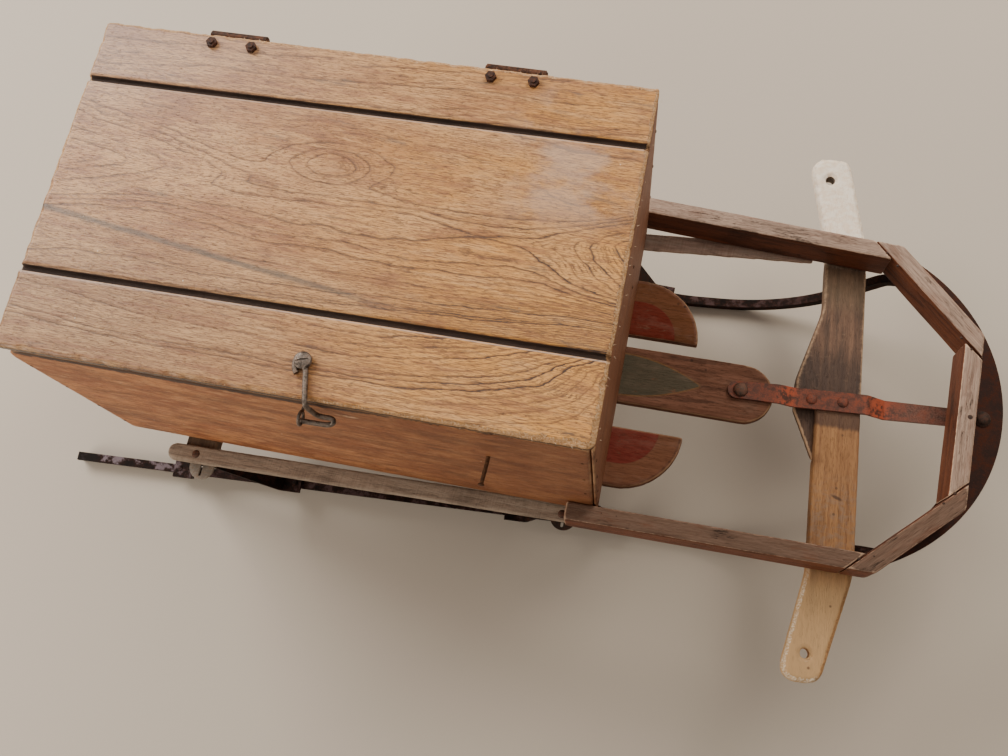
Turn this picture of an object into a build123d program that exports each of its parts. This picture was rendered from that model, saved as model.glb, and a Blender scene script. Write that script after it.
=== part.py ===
"""Steering sled with a lidded wooden box on its deck and a wooden guard around its nose.

Millimetres. +X is forward, +Y is the sled's left, +Z is up. The origin is on the floor,
in the middle of the footprint. The sled stands on its two steel runners.
"""

import os
from math import cos, radians, sin, sqrt, tan

from build123d import *

os.makedirs("parts", exist_ok=True)

# Overall
overall_length = 1045  # runner tails to the hoop's nose
deck_height = 155  # floor to the top of the slats
slide_gap = 0.3  # between a moving piece and what it rests on
hole_clearance = 0.1  # radial, round a fixed bolt or rivet
pivot_clearance = 0.05  # radial, round a pin that turns
end_round = 0.48  # of a strip's width, at each corner of its rounded end
head_bevel = 0.45  # of a head's height, round its top edge
front_splay = 2.1  # degrees that rails and runners open out, ahead of the front bench
front_pull = 1.9  # degrees that the turned bar pulls them to the left there

# Deck slats
slat_thickness = 11
centre_slat_width = 64
centre_slat_nose = 35  # past the pivot
centre_slat_shift = 2.5  # to the right of the pivot
outer_slat_width = 65
outer_slat_set_back = 51  # of its nose, behind the pivot
slat_gap_left = 13
slat_gap_right = 26
slat_edge_round = 1.5

# Side rails, bent where they cross the front bench
rail_width = 20
rail_thickness = 6
rail_half_spacing = 157.5  # of their centre lines, at the front bench
rail_side_shift = 3  # to the right
rail_toe_in = 1.5  # degrees, from the rear to the front bench
rail_bend_radius = 200
rail_set_in = 44  # of their rear ends, ahead of the box's rear
rail_reach = 57  # of their front ends, past the pivot
rail_edge_round = 2

# Benches under the deck, each on a steel plate with a slotted ear at both ends
bench_width = 36
bench_thickness = 18
rear_bench_length = 356
front_bench_length = 334
rear_bench_set_in = 77.5  # ahead of the box's rear
front_bench_set_in = 36  # behind the box's front
bench_edge_round = 3
plate_thickness = 3
plate_width = 28
rear_plate_length = 388
front_plate_length = 351
ear_slot_length = 15
ear_slot_width = 3
ear_slot_inset = 3  # from the ear's tip

# Knees, bent from strap
knee_thickness = 3.5
knee_width = 22
knee_top_length = 20
knee_spreads = {"rear": 114, "front": 104}  # between the legs where they meet the runner
knee_foot_length = 24
knee_bend_radius = 5

# Runners, a tee section with its web down
runner_half_spacing = 179  # of their middles, at the tails
runner_toe_ins = {"left": 2.4, "right": 3.2}  # degrees, as far as their bends
runner_bend_set_back = 70  # behind the pivot
runner_bend_radius = 300
runner_height = 16
runner_flange_width = 10
runner_flange_thickness = 4
runner_web_thickness = 5
runner_rise_set_back = 27  # where it leaves the floor, behind the pivot
runner_rise_radius = 165  # of the section's middle
runner_rise_angle = 52
runner_slope_length = 56
runner_tip_radius = 15
runner_tip_length = 10

# Steering bar, pivoted with its strap and hoop on the centre slat
steer_angle = 3.5  # degrees that the bar rests turned to the left
bar_thickness = 17
bar_clearance = 1  # of its top, below the guard
bar_front = 125.5  # its straight front edge, past the pivot
bar_width = 44
bar_half_length = 287
bar_bulge = 24  # that the middle stands further back
bar_bulge_half_width = 22
bar_neck_half_width = 102  # where the bulge has run out
bar_bulge_radius = 60
grip_start = 178  # from the middle, where the grips sweep back
grip_front_sweep = 28
grip_rear_sweep = 23
left_grip_fullness = 5  # less front sweep on the left
grip_bend_radius = 90
grip_end_radius = 15
bar_edge_round = 3
rope_hole_radius = 5
rope_hole_reach = 82  # past the pivot
rope_hole_spacing = 518
lap_length = 62  # of the old wood that runs on under the newer half
lap_gap = 0.3  # at the old wood's end
newer_half_extra = 2.5  # that its rear edge stands further back

# Strap
strap_width = 21  # on the bar
strap_end_width = 18
strap_thickness = 3
strap_rear = 13  # behind the pivot
strap_front = 261
strap_on_slat = 40  # where it starts down to the bar
strap_on_bar = 54
strap_off_bar = 130
strap_on_hoop = 150
strap_bend_radius = 5
rivet_radius = 3
rivet_head_radius = 5.5
rivet_head_height = 2.5
rivet_reaches = (74, 106)  # past the pivot

# Hoop, a flat steel crescent with its outer edge turned down
hoop_thickness = 3.5
hoop_drop = 12  # of its top, below the slats' top
hoop_outer_radius = 187.5
hoop_outer_reach = 81  # from the pivot to the outer arc's centre
hoop_outer_shift = 10  # to the left
hoop_inner_radius = 178
hoop_inner_reach = 58
hoop_inner_shift = 8
hoop_lip = 8
hoop_horn_gap = 3  # between the bar and the horns
hoop_bolt_reach = 248
hoop_bolt_radius = 4
hoop_bolt_head_radius = 7
hoop_bolt_head_height = 4

# Pivot bolt
pivot_radius = 4
pivot_head_radius = 7.5
pivot_head_height = 4
pivot_nut_width = 13
pivot_nut_height = 6

# Box
box_length = 520
box_width = 326
box_height = 277  # with its lid
box_set_back = 125  # of its front, behind the pivot
box_side_shift = 8  # to the left
side_thickness = 12
front_panel_thickness = 4
rear_panel_thickness = 10
floor_thickness = 9
side_corner_radius = 26  # at the lower rear
panel_edge_round = 1.2

# Lid, of grooved panelling
lid_thickness = 9
groove_width = 4.5
groove_depth = 1.8
groove_left = 59  # from the lid's left edge
groove_right = 78  # from the lid's right edge
lid_corner_radius = 5
lid_worn_corner_radius = 14

# Hinges
hinge_places = (128, 391)  # from the box's rear
hinge_length = 54
hinge_leaf_thickness = 2
hinge_leaf_depth = 20
hinge_box_leaf_height = 24
hinge_stand_off = 4.8  # of the pin, outside the box's left side
knuckle_radius = 4.2
hinge_pin_radius = 1.8
hinge_pin_head_radius = 2.8
hinge_pin_head = 1.2
knuckle_gap = 0.3
leaf_recess_clearance = 0.5
lid_bolt_radius = 2.5
lid_bolt_inset = 10.5  # from the lid's left edge
lid_bolt_spacing = 38.5
lid_nut_width = 9
lid_nut_height = 3.5
lid_bolt_end = 1.5  # of thread past its nut

# Hook and screw eye
latch_place = 273  # the hook's screw, from the box's rear
latch_inset = 31  # from the lid's right edge
latch_wire = 3.2
latch_eye_radius = 6  # of the wire's middle
latch_screw_radius = 3
latch_screw_depth = 8  # in the lid
latch_head_radius = 7.2
latch_head_height = 3
latch_slack = 0.2  # above and below the hook's eye
hook_overhang = 6  # of the wire's middle, outside the box's right side
hook_slant = 14.4  # forward, from the screw to its drop
hook_drop = 23  # below the lid's top
hook_side_reach = 15  # forward, to its turn
hook_turn_out = 6
hook_turn_down = 7
hook_corner_radius = 6
hook_turn_radius = 4.4
eye_place = 273.5  # from the box's rear
eye_drop = 27  # below the lid's top
eye_wire = 2.8
eye_ring_radius = 5.7
eye_stand_off = 10  # of the ring's middle, from the wall
eye_shank_depth = 9  # in the wall
hook_tip_gap = 2  # beside the ring

# Peg nail
nail_place = 424.5  # from the box's rear
nail_height = 181  # above the deck
nail_radius = 2
nail_length = 25
nail_depth = 9
nail_head_radius = 3.6
nail_head_thickness = 1.6

# Guard: two rails and a nose, which end on the inner faces of two longer diagonals
guard_thickness = 19
guard_height = 43
guard_overlap = 32  # of its rails along the box's sides
guard_corner_reaches = {"left": 134, "right": 138}  # of its inner corners, past the pivot
guard_corner_halves = {"left": 156, "right": 152.5}  # out from the pivot
guard_nose_reaches = {"left": 210.5, "right": 206}
guard_nose_halves = {"left": 81, "right": 86}
guard_corner_round = 8
guard_edge_round = 2

# Places
front_x = overall_length / 2
tail_x = -overall_length / 2
turn_cos, turn_sin = cos(radians(steer_angle)), sin(radians(steer_angle))
hoop_centre_forward = hoop_outer_reach * turn_cos - hoop_outer_shift * turn_sin
pivot_x = front_x - hoop_outer_radius - hoop_centre_forward
grip_end_reach = bar_front - (grip_front_sweep + bar_width + grip_rear_sweep) / 2
centre_y = -grip_end_reach * turn_sin

slat_bottom = deck_height - slat_thickness
rail_top = slat_bottom + rail_thickness
plate_top = slat_bottom - bench_thickness
knee_top = plate_top - plate_thickness
bar_top = rail_top - bar_clearance
bar_bottom = bar_top - bar_thickness
hoop_top = deck_height - hoop_drop
hoop_bottom = hoop_top - hoop_thickness

box_front_x = pivot_x - box_set_back
box_rear_x = box_front_x - box_length
box_centre_x = (box_front_x + box_rear_x) / 2
box_centre_y = centre_y + box_side_shift
box_left_y = box_centre_y + box_width / 2
box_right_y = box_centre_y - box_width / 2
lid_top = deck_height + box_height
lid_bottom = lid_top - lid_thickness
wall_top = lid_bottom - slide_gap

rail_rear_x = box_rear_x + rail_set_in
rail_front_x = pivot_x + rail_reach
rear_bench_x = box_rear_x + rear_bench_set_in
front_bench_x = box_front_x - front_bench_set_in
bench_xs = {"rear": rear_bench_x, "front": front_bench_x}
bench_lengths = {"rear": rear_bench_length, "front": front_bench_length}
plate_lengths = {"rear": rear_plate_length, "front": front_plate_length}
sides = {"left": 1, "right": -1}

pivot = Vector(pivot_x, centre_y, 0)
steering_plane = Plane(origin=pivot, x_dir=(turn_cos, turn_sin, 0), z_dir=(0, 0, 1))


def plane_along(place, heading):
    """An upright plane through a place, drawn along a heading in degrees and upwards."""
    turn = radians(heading)
    return Plane(origin=place, x_dir=(cos(turn), sin(turn), 0), z_dir=(sin(turn), -cos(turn), 0))


def plane_across(place, heading):
    """An upright plane through a place that faces along a heading, drawn leftwards and upwards."""
    turn = radians(heading)
    return Plane(origin=place, x_dir=(-sin(turn), cos(turn), 0), z_dir=(cos(turn), sin(turn), 0))


def lengthwise_plane(y):
    """A plane along the sled at y, drawn in x and z, whose normal points to the right."""
    return plane_along((0, y, 0), 0)


def crosswise_plane(x):
    """A plane across the sled at x, drawn in y and z, whose normal points forward."""
    return plane_across((x, 0, 0), 0)


def on_line(start, heading, x):
    """The place at x on the level line that leaves the start along a heading."""
    return Vector(x, start.Y + (x - start.X) * tan(radians(heading)), start.Z)


# Centre slat, with a round nose and the pivot's hole
with BuildPart() as centre_slat:
    half_width = centre_slat_width / 2
    slat_y = centre_y - centre_slat_shift
    nose_arc_x = pivot_x + centre_slat_nose - half_width
    with BuildSketch(Plane.XY.offset(slat_bottom)):
        with BuildLine():
            Polyline(
                (nose_arc_x, slat_y + half_width),
                (box_rear_x, slat_y + half_width),
                (box_rear_x, slat_y - half_width),
                (nose_arc_x, slat_y - half_width),
            )
            CenterArc((nose_arc_x, slat_y), half_width, -90, 180)
        make_face()
    extrude(amount=slat_thickness)
    fillet(centre_slat.edges().group_by(Axis.Z)[-1], slat_edge_round)
    with Locations((pivot_x, centre_y, deck_height)):
        Hole(pivot_radius + hole_clearance)
centre_slat.part.label = "centre_slat"
export_step(centre_slat.part, "parts/centre_slat.step")

# Outer slats, whose noses are quarter rounds about their inner edges
slat_gaps = {"left": slat_gap_left, "right": slat_gap_right}
for side, sign in sides.items():
    inner_y = slat_y + sign * (centre_slat_width / 2 + slat_gaps[side])
    outer_y = inner_y + sign * outer_slat_width
    slat_nose_x = pivot_x - outer_slat_set_back
    arc_x = slat_nose_x - outer_slat_width
    with BuildPart() as outer_slat:
        with BuildSketch(Plane.XY.offset(slat_bottom)):
            with BuildLine():
                Polyline(
                    (arc_x, outer_y),
                    (box_rear_x, outer_y),
                    (box_rear_x, inner_y),
                    (slat_nose_x, inner_y),
                )
                CenterArc((arc_x, inner_y), outer_slat_width, 0, sign * 90)
            make_face()
        extrude(amount=slat_thickness)
        fillet(outer_slat.edges().group_by(Axis.Z)[-1], slat_edge_round)
    outer_slat.part.label = f"outer_slat_{side}"
    export_step(outer_slat.part, f"parts/outer_slat_{side}.step")

# Side rails, with round rear ends
front_headings = {side: sign * front_splay + front_pull for side, sign in sides.items()}
for side, sign in sides.items():
    rail_y = centre_y - rail_side_shift + sign * rail_half_spacing
    bend = Vector(front_bench_x, rail_y + rail_width / 2)
    rear_end = on_line(bend, -sign * rail_toe_in, rail_rear_x)
    front_end = on_line(bend, front_headings[side], rail_front_x)
    with BuildPart() as side_rail:
        with BuildSketch(Plane.XY.offset(slat_bottom)):
            with BuildLine():
                FilletPolyline(rear_end, bend, front_end, radius=rail_bend_radius)
                offset(amount=rail_width, side=Side.RIGHT)
            make_face()
        extrude(amount=rail_thickness)
        rear_corners = side_rail.edges().filter_by(Axis.Z).sort_by(Axis.X)[:2]
        fillet(rear_corners, rail_width * end_round)
        fillet(side_rail.edges().group_by(Axis.Z)[-1], rail_edge_round)
    side_rail.part.label = f"side_rail_{side}"
    export_step(side_rail.part, f"parts/side_rail_{side}.step")

# Benches and their plates
for place, bench_x in bench_xs.items():
    plate_length = plate_lengths[place]
    with BuildPart() as bench:
        with BuildSketch(Plane.XY.offset(plate_top)):
            with Locations((bench_x, centre_y)):
                Rectangle(bench_width, bench_lengths[place])
        extrude(amount=bench_thickness)
        fillet(bench.edges().filter_by(Axis.Y).group_by(Axis.Z)[0], bench_edge_round)
    bench.part.label = f"{place}_bench"
    export_step(bench.part, f"parts/{place}_bench.step")

    with BuildPart() as plate:
        slot_y = plate_length / 2 - ear_slot_inset - ear_slot_length / 2
        with BuildSketch(Plane.XY.offset(knee_top)):
            with Locations((bench_x, centre_y)):
                SlotOverall(plate_length, plate_width, rotation=90)
            with Locations((bench_x, centre_y + slot_y), (bench_x, centre_y - slot_y)):
                SlotOverall(ear_slot_length, ear_slot_width, rotation=90, mode=Mode.SUBTRACT)
        extrude(amount=plate_thickness)
    plate.part.label = f"{place}_bench_plate"
    export_step(plate.part, f"parts/{place}_bench_plate.step")

# Knees, each one strap bent into two legs with feet on the runner
tails = {side: Vector(tail_x, centre_y + sign * runner_half_spacing) for side, sign in sides.items()}
foot_z = runner_height + knee_thickness
half_top = knee_top_length / 2
for place, bench_x in bench_xs.items():
    half_spread = knee_spreads[place] / 2
    knee_line = [
        (-half_spread - knee_foot_length, foot_z),
        (-half_spread, foot_z),
        (-half_top, knee_top),
        (half_top, knee_top),
        (half_spread, foot_z),
        (half_spread + knee_foot_length, foot_z),
    ]
    for side, sign in sides.items():
        toe_heading = -sign * runner_toe_ins[side]
        under_bench = on_line(tails[side], toe_heading, bench_x)
        with BuildPart() as knee:
            with BuildSketch(plane_along(under_bench, toe_heading)):
                with BuildLine():
                    FilletPolyline(*knee_line, radius=knee_bend_radius)
                    offset(amount=knee_thickness, side=Side.RIGHT)
                make_face()
            extrude(amount=knee_width / 2, both=True)
        knee.part.label = f"{place}_knee_{side}"
        export_step(knee.part, f"parts/{place}_knee_{side}.step")

# Runners, bent outwards on the floor and then swept up to a level tip
for side, sign in sides.items():
    toe_heading = -sign * runner_toe_ins[side]
    front_heading = front_headings[side]
    bend = on_line(tails[side], toe_heading, pivot_x - runner_bend_set_back)
    rise_start = on_line(bend, front_heading, pivot_x - runner_rise_set_back)
    with BuildPart() as runner:
        with BuildLine(Plane.XY.offset(runner_height / 2)) as floor_path:
            FilletPolyline(tails[side], bend, rise_start, radius=runner_bend_radius)
        with BuildLine(plane_along(rise_start, front_heading)) as front_path:
            rise = JernArc((0, runner_height / 2), (1, 0), runner_rise_radius, runner_rise_angle)
            up = Line(rise @ 1, rise @ 1 + (rise % 1) * runner_slope_length)
            level = JernArc(up @ 1, up % 1, runner_tip_radius, -runner_rise_angle)
            Line(level @ 1, level @ 1 + (level % 1) * runner_tip_length)
        sweeps = ((floor_path, tails[side], toe_heading), (front_path, rise_start, front_heading))
        for path, start, heading in sweeps:
            with BuildSketch(plane_across(start, heading)):
                with Locations((0, runner_height - runner_flange_thickness / 2)):
                    Rectangle(runner_flange_width, runner_flange_thickness)
                with Locations((0, runner_height / 2)):
                    Rectangle(runner_web_thickness, runner_height)
            sweep(path=path.line)
    runner.part.label = f"runner_{side}"
    export_step(runner.part, f"parts/runner_{side}.step")

# Steering bar: old wood to the left, with a lap that runs on under the newer right half
bar_rear = bar_front - bar_width
grip_radii = [grip_bend_radius, grip_end_radius, grip_end_radius, grip_bend_radius]
old_half_radii = grip_radii + [bar_bulge_radius, bar_bulge_radius]
far_reach = 2 * overall_length


def steered(reach, aside, z):
    """A place given from the pivot, along and across the turned bar."""
    return steering_plane.from_local_coords((reach, aside, z))


def grip_points(sign, rear):
    """One half of the bar in plan, from the middle of its front edge round to the grip's rear."""
    fullness = left_grip_fullness if sign > 0 else 0
    return [
        (bar_front, 0),
        (bar_front, sign * grip_start),
        (bar_front - grip_front_sweep + fullness, sign * bar_half_length),
        (rear - grip_rear_sweep, sign * bar_half_length),
        (rear, sign * grip_start),
    ]


def round_long_edges(builder, height):
    """Round the bar's outline at one height, but not across the joint in its middle."""
    at_height = [edge for edge in builder.edges() if abs(edge.center().Z - height) < hole_clearance]
    clear_of_joint = bar_bulge_half_width + bar_edge_round
    rounded = [
        edge for edge in at_height if abs(steering_plane.to_local_coords(edge.center()).Y) > clear_of_joint
    ]
    fillet(rounded, bar_edge_round)


bulge_rear = bar_rear - bar_bulge
newer_rear = bar_rear - newer_half_extra
with BuildPart() as bar_left:
    with BuildSketch(steering_plane.offset(bar_bottom)):
        with BuildLine() as outline:
            bulge_points = [
                (bar_rear, bar_neck_half_width),
                (bulge_rear, bar_bulge_half_width),
                (bulge_rear, 0),
            ]
            FilletPolyline(*grip_points(1, bar_rear), *bulge_points, radius=old_half_radii)
            Line(outline.line @ 1, outline.line @ 0)
        make_face()
    extrude(amount=bar_thickness)
    round_long_edges(bar_left, bar_top)
    round_long_edges(bar_left, bar_bottom)
    with BuildSketch(steering_plane.offset(bar_bottom)):
        with BuildLine():
            lap_points = [
                (bar_front, 0),
                (bar_front, -lap_length),
                (newer_rear, -lap_length),
                (bulge_rear, -strap_width / 2),
                (bulge_rear, 0),
            ]
            Polyline(*lap_points, close=True)
        make_face()
    extrude(amount=bar_thickness / 2)
    with Locations(steered(rope_hole_reach, rope_hole_spacing / 2, bar_top)):
        Hole(rope_hole_radius)
    with Locations(*[steered(reach, 0, bar_top) for reach in rivet_reaches]):
        Hole(rivet_radius + hole_clearance)
bar_left.part.label = "steering_bar_left"
export_step(bar_left.part, "parts/steering_bar_left.step")

with BuildPart() as bar_right:
    with BuildSketch(steering_plane.offset(bar_bottom)):
        with BuildLine():
            FilletPolyline(*grip_points(-1, newer_rear), (newer_rear, 0), radius=grip_radii)
            Line((newer_rear, 0), (bar_front, 0))
        make_face()
    extrude(amount=bar_thickness)
    round_long_edges(bar_right, bar_top)
    round_long_edges(bar_right, bar_bottom)
    with BuildSketch(steering_plane.offset(bar_bottom)):
        with Locations((bar_front / 2, 0)):
            Rectangle(far_reach, 2 * (lap_length + lap_gap))
    extrude(amount=bar_thickness / 2, mode=Mode.SUBTRACT)
    with Locations(steered(rope_hole_reach, -rope_hole_spacing / 2, bar_top)):
        Hole(rope_hole_radius)
    with Locations(*[steered(reach, 0, bar_top) for reach in rivet_reaches]):
        Hole(rivet_radius + hole_clearance)
bar_right.part.label = "steering_bar_right"
export_step(bar_right.part, "parts/steering_bar_right.step")

# Strap, from the pivot over the bar and down to the hoop
strap_low = deck_height + slide_gap
strap_hoop_low = hoop_bottom - strap_thickness
with BuildPart() as strap:
    lower_line = [
        (-strap_rear, strap_low),
        (strap_on_slat, strap_low),
        (strap_on_bar, bar_top),
        (strap_off_bar, bar_top),
        (strap_on_hoop, strap_hoop_low),
        (strap_front, strap_hoop_low),
    ]
    with BuildSketch(plane_along(pivot, steer_angle)):
        with BuildLine():
            FilletPolyline(*lower_line, radius=strap_bend_radius)
            offset(amount=strap_thickness, side=Side.LEFT)
        make_face()
    extrude(amount=strap_width / 2, both=True)
    with BuildSketch(steering_plane.offset(strap_hoop_low)):
        with BuildLine():
            width_ends = [
                (-strap_rear, strap_end_width / 2),
                (strap_on_bar, strap_width / 2),
                (strap_off_bar, strap_width / 2),
                (strap_front, strap_end_width / 2),
            ]
            Polyline(*width_ends, *[(reach, -half) for reach, half in reversed(width_ends)], close=True)
        make_face()
    extrude(amount=deck_height, mode=Mode.INTERSECT)
    end_corners = strap.edges().filter_by(Axis.Z).group_by(Axis.X)
    fillet(end_corners[0] + end_corners[1], strap_end_width * end_round)
    with Locations(steered(0, 0, strap_low + strap_thickness)):
        Hole(pivot_radius + pivot_clearance)
    with Locations(*[steered(reach, 0, bar_top + strap_thickness) for reach in rivet_reaches]):
        Hole(rivet_radius + hole_clearance)
    with Locations(steered(hoop_bolt_reach, 0, hoop_bottom)):
        Hole(hoop_bolt_radius + hole_clearance)
strap.part.label = "steering_strap"
export_step(strap.part, "parts/steering_strap.step")

with BuildPart() as rivets:
    for reach in rivet_reaches:
        with BuildSketch(Plane(steered(reach, 0, bar_bottom - rivet_head_height))):
            Circle(rivet_head_radius)
        extrude(amount=rivet_head_height)
        with BuildSketch(Plane(steered(reach, 0, bar_bottom))):
            Circle(rivet_radius)
        extrude(amount=bar_thickness + strap_thickness)
        with BuildSketch(Plane(steered(reach, 0, bar_top + strap_thickness))):
            Circle(rivet_head_radius)
        extrude(amount=rivet_head_height)
    chamfer(rivets.edges().group_by(Axis.Z)[-1], rivet_head_height * head_bevel)
rivets.part.label = "strap_rivets"
export_step(rivets.part, "parts/strap_rivets.step")

# Hoop: a crescent plate with a turned-down lip
horn_x = bar_front + hoop_horn_gap
with BuildPart() as hoop:
    with BuildSketch(steering_plane.offset(hoop_bottom)):
        with Locations((hoop_outer_reach, hoop_outer_shift)):
            Circle(hoop_outer_radius)
        with Locations((hoop_inner_reach, hoop_inner_shift)):
            Circle(hoop_inner_radius, mode=Mode.SUBTRACT)
        with Locations((horn_x + far_reach / 2, 0)):
            Rectangle(far_reach, far_reach, mode=Mode.INTERSECT)
    extrude(amount=hoop_thickness)
    with BuildSketch(steering_plane.offset(hoop_bottom - hoop_lip)):
        with Locations((hoop_outer_reach, hoop_outer_shift)):
            Circle(hoop_outer_radius)
            Circle(hoop_outer_radius - hoop_thickness, mode=Mode.SUBTRACT)
        with Locations((horn_x + far_reach / 2, 0)):
            Rectangle(far_reach, far_reach, mode=Mode.INTERSECT)
    extrude(amount=hoop_lip)
    with Locations(steered(hoop_bolt_reach, 0, hoop_top)):
        Hole(hoop_bolt_radius + hole_clearance)
hoop.part.label = "front_hoop"
export_step(hoop.part, "parts/front_hoop.step")

with BuildPart() as hoop_bolt:
    with BuildSketch(Plane(steered(hoop_bolt_reach, 0, hoop_top))):
        Circle(hoop_bolt_head_radius)
    extrude(amount=hoop_bolt_head_height)
    chamfer(hoop_bolt.edges().group_by(Axis.Z)[-1], hoop_bolt_head_height * head_bevel)
    with BuildSketch(Plane(steered(hoop_bolt_reach, 0, strap_hoop_low))):
        Circle(hoop_bolt_radius)
    extrude(amount=hoop_thickness + strap_thickness)
    with BuildSketch(Plane(steered(hoop_bolt_reach, 0, strap_hoop_low - hoop_bolt_head_height))):
        Circle(hoop_bolt_head_radius)
    extrude(amount=hoop_bolt_head_height)
hoop_bolt.part.label = "hoop_bolt"
export_step(hoop_bolt.part, "parts/hoop_bolt.step")

# Pivot bolt, fixed in the centre slat
with BuildPart() as pivot_bolt:
    head_bottom = strap_low + strap_thickness + slide_gap
    with BuildSketch(Plane((pivot_x, centre_y, slat_bottom))):
        Circle(pivot_radius)
    extrude(amount=head_bottom - slat_bottom)
    with BuildSketch(Plane((pivot_x, centre_y, head_bottom))):
        Circle(pivot_head_radius)
    extrude(amount=pivot_head_height)
    chamfer(pivot_bolt.edges().group_by(Axis.Z)[-1], pivot_head_height * head_bevel)
    with BuildSketch(Plane((pivot_x, centre_y, slat_bottom - pivot_nut_height))):
        RegularPolygon(pivot_nut_width / 2, 6, major_radius=False)
    extrude(amount=pivot_nut_height)
pivot_bolt.part.label = "pivot_bolt"
export_step(pivot_bolt.part, "parts/pivot_bolt.step")

# Box panels: the front covers the sides' ends, and the rear and the bottom lie between the sides
pin_y = box_left_y + hinge_stand_off
pin_z = lid_bottom - hinge_leaf_thickness / 2
hinge_xs = [box_rear_x + place for place in hinge_places]
side_front_x = box_front_x - front_panel_thickness
side_corners = [
    (box_rear_x, deck_height),
    (side_front_x, deck_height),
    (side_front_x, wall_top),
    (box_rear_x, wall_top),
]
eye_x = box_rear_x + eye_place
eye_y = box_right_y - eye_stand_off
eye_z = lid_top - eye_drop
nail_x = box_rear_x + nail_place
nail_z = deck_height + nail_height

with BuildPart() as box_side_left:
    with BuildSketch(lengthwise_plane(box_left_y)) as side_outline:
        with BuildLine():
            Polyline(*side_corners, close=True)
        make_face()
        fillet(side_outline.vertices().sort_by(Axis.X)[:2].sort_by(Axis.Z)[0], side_corner_radius)
    extrude(amount=side_thickness)
    notch_bottom = lid_bottom - hinge_leaf_thickness - leaf_recess_clearance
    with BuildSketch(Plane.XY.offset(notch_bottom)):
        with Locations(*[(x, box_left_y - side_thickness / 2) for x in hinge_xs]):
            Rectangle(hinge_length + 2 * leaf_recess_clearance, 2 * side_thickness)
    extrude(amount=wall_top - notch_bottom, mode=Mode.SUBTRACT)
box_side_left.part.label = "box_side_left"
export_step(box_side_left.part, "parts/box_side_left.step")

with BuildPart() as box_side_right:
    with BuildSketch(lengthwise_plane(box_right_y)) as side_outline:
        with BuildLine():
            Polyline(*side_corners, close=True)
        make_face()
        fillet(side_outline.vertices().sort_by(Axis.X)[:2].sort_by(Axis.Z)[0], side_corner_radius)
    extrude(amount=-side_thickness)
    with BuildSketch(lengthwise_plane(box_right_y)):
        with Locations((eye_x, eye_z)):
            Circle(eye_wire / 2 + hole_clearance)
    extrude(amount=-eye_shank_depth, mode=Mode.SUBTRACT)
    with BuildSketch(lengthwise_plane(box_right_y)):
        with Locations((nail_x, nail_z)):
            Circle(nail_radius + hole_clearance)
    extrude(amount=-nail_depth, mode=Mode.SUBTRACT)
box_side_right.part.label = "box_side_right"
export_step(box_side_right.part, "parts/box_side_right.step")

inner_width = box_width - 2 * side_thickness
with BuildPart() as box_front_panel:
    with BuildSketch(Plane.XY.offset(deck_height)):
        with Locations((side_front_x + front_panel_thickness / 2, box_centre_y)):
            Rectangle(front_panel_thickness, box_width)
    extrude(amount=wall_top - deck_height)
    fillet(box_front_panel.edges().filter_by(Axis.Z), panel_edge_round)
box_front_panel.part.label = "box_front_panel"
export_step(box_front_panel.part, "parts/box_front_panel.step")

with BuildPart() as box_rear_panel:
    with BuildSketch(Plane.XY.offset(deck_height)):
        with Locations((box_rear_x + rear_panel_thickness / 2, box_centre_y)):
            Rectangle(rear_panel_thickness, inner_width)
    extrude(amount=wall_top - deck_height)
    fillet(box_rear_panel.edges().group_by(Axis.X)[0].filter_by(Axis.Y), panel_edge_round)
box_rear_panel.part.label = "box_rear_panel"
export_step(box_rear_panel.part, "parts/box_rear_panel.step")

with BuildPart() as box_floor:
    with BuildSketch(Plane.XY.offset(deck_height)):
        floor_rear_x = box_rear_x + rear_panel_thickness
        with Locations(((floor_rear_x + side_front_x) / 2, box_centre_y)):
            Rectangle(side_front_x - floor_rear_x, inner_width)
    extrude(amount=floor_thickness)
box_floor.part.label = "box_floor"
export_step(box_floor.part, "parts/box_floor.step")

# Lid, grooved along the box, with holes for the hinge bolts and the hook's screw
lid_bolt_y = box_left_y - lid_bolt_inset
lid_bolt_places = []
for x in hinge_xs:
    lid_bolt_places += [(x - lid_bolt_spacing / 2, lid_bolt_y), (x + lid_bolt_spacing / 2, lid_bolt_y)]
screw_x = box_rear_x + latch_place
screw_y = box_right_y + latch_inset
with BuildPart() as lid_panel:
    with BuildSketch(Plane.XY.offset(lid_bottom)):
        with Locations((box_centre_x, box_centre_y)):
            Rectangle(box_length, box_width)
    extrude(amount=lid_thickness)
    corners = lid_panel.edges().filter_by(Axis.Z).sort_by(Axis.X)
    front_corners = corners[-2:].sort_by(Axis.Y)
    fillet(front_corners[0], lid_worn_corner_radius)
    fillet(lid_panel.edges().filter_by(Axis.Z).sort_by(Axis.X)[:2], lid_corner_radius)
    with BuildSketch(Plane.XY.offset(lid_top)):
        with Locations((box_centre_x, box_left_y - groove_left), (box_centre_x, box_right_y + groove_right)):
            Rectangle(2 * box_length, groove_width)
    extrude(amount=-groove_depth, mode=Mode.SUBTRACT)
    with Locations(*[(x, y, lid_top) for x, y in lid_bolt_places]):
        Hole(lid_bolt_radius + hole_clearance)
    with Locations((screw_x, screw_y, lid_top)):
        Hole(latch_screw_radius + hole_clearance, depth=latch_screw_depth)
lid_panel.part.label = "lid_panel"
export_step(lid_panel.part, "parts/lid_panel.step")

# Hinges: three knuckles each, the middle one on the lid's leaf
knuckle_length = (hinge_length - 2 * knuckle_gap) / 3
knuckle_pitch = knuckle_length + knuckle_gap
knuckle_clear = knuckle_radius + leaf_recess_clearance
pin_bore_radius = hinge_pin_radius + pivot_clearance
knuckle_circles = ((knuckle_radius, Mode.ADD), (pin_bore_radius, Mode.SUBTRACT))
leaf_low = lid_bottom - hinge_leaf_thickness
leaf_edge = pin_y - knuckle_clear  # where the lid's leaf stops, clear of the box's knuckles

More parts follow.
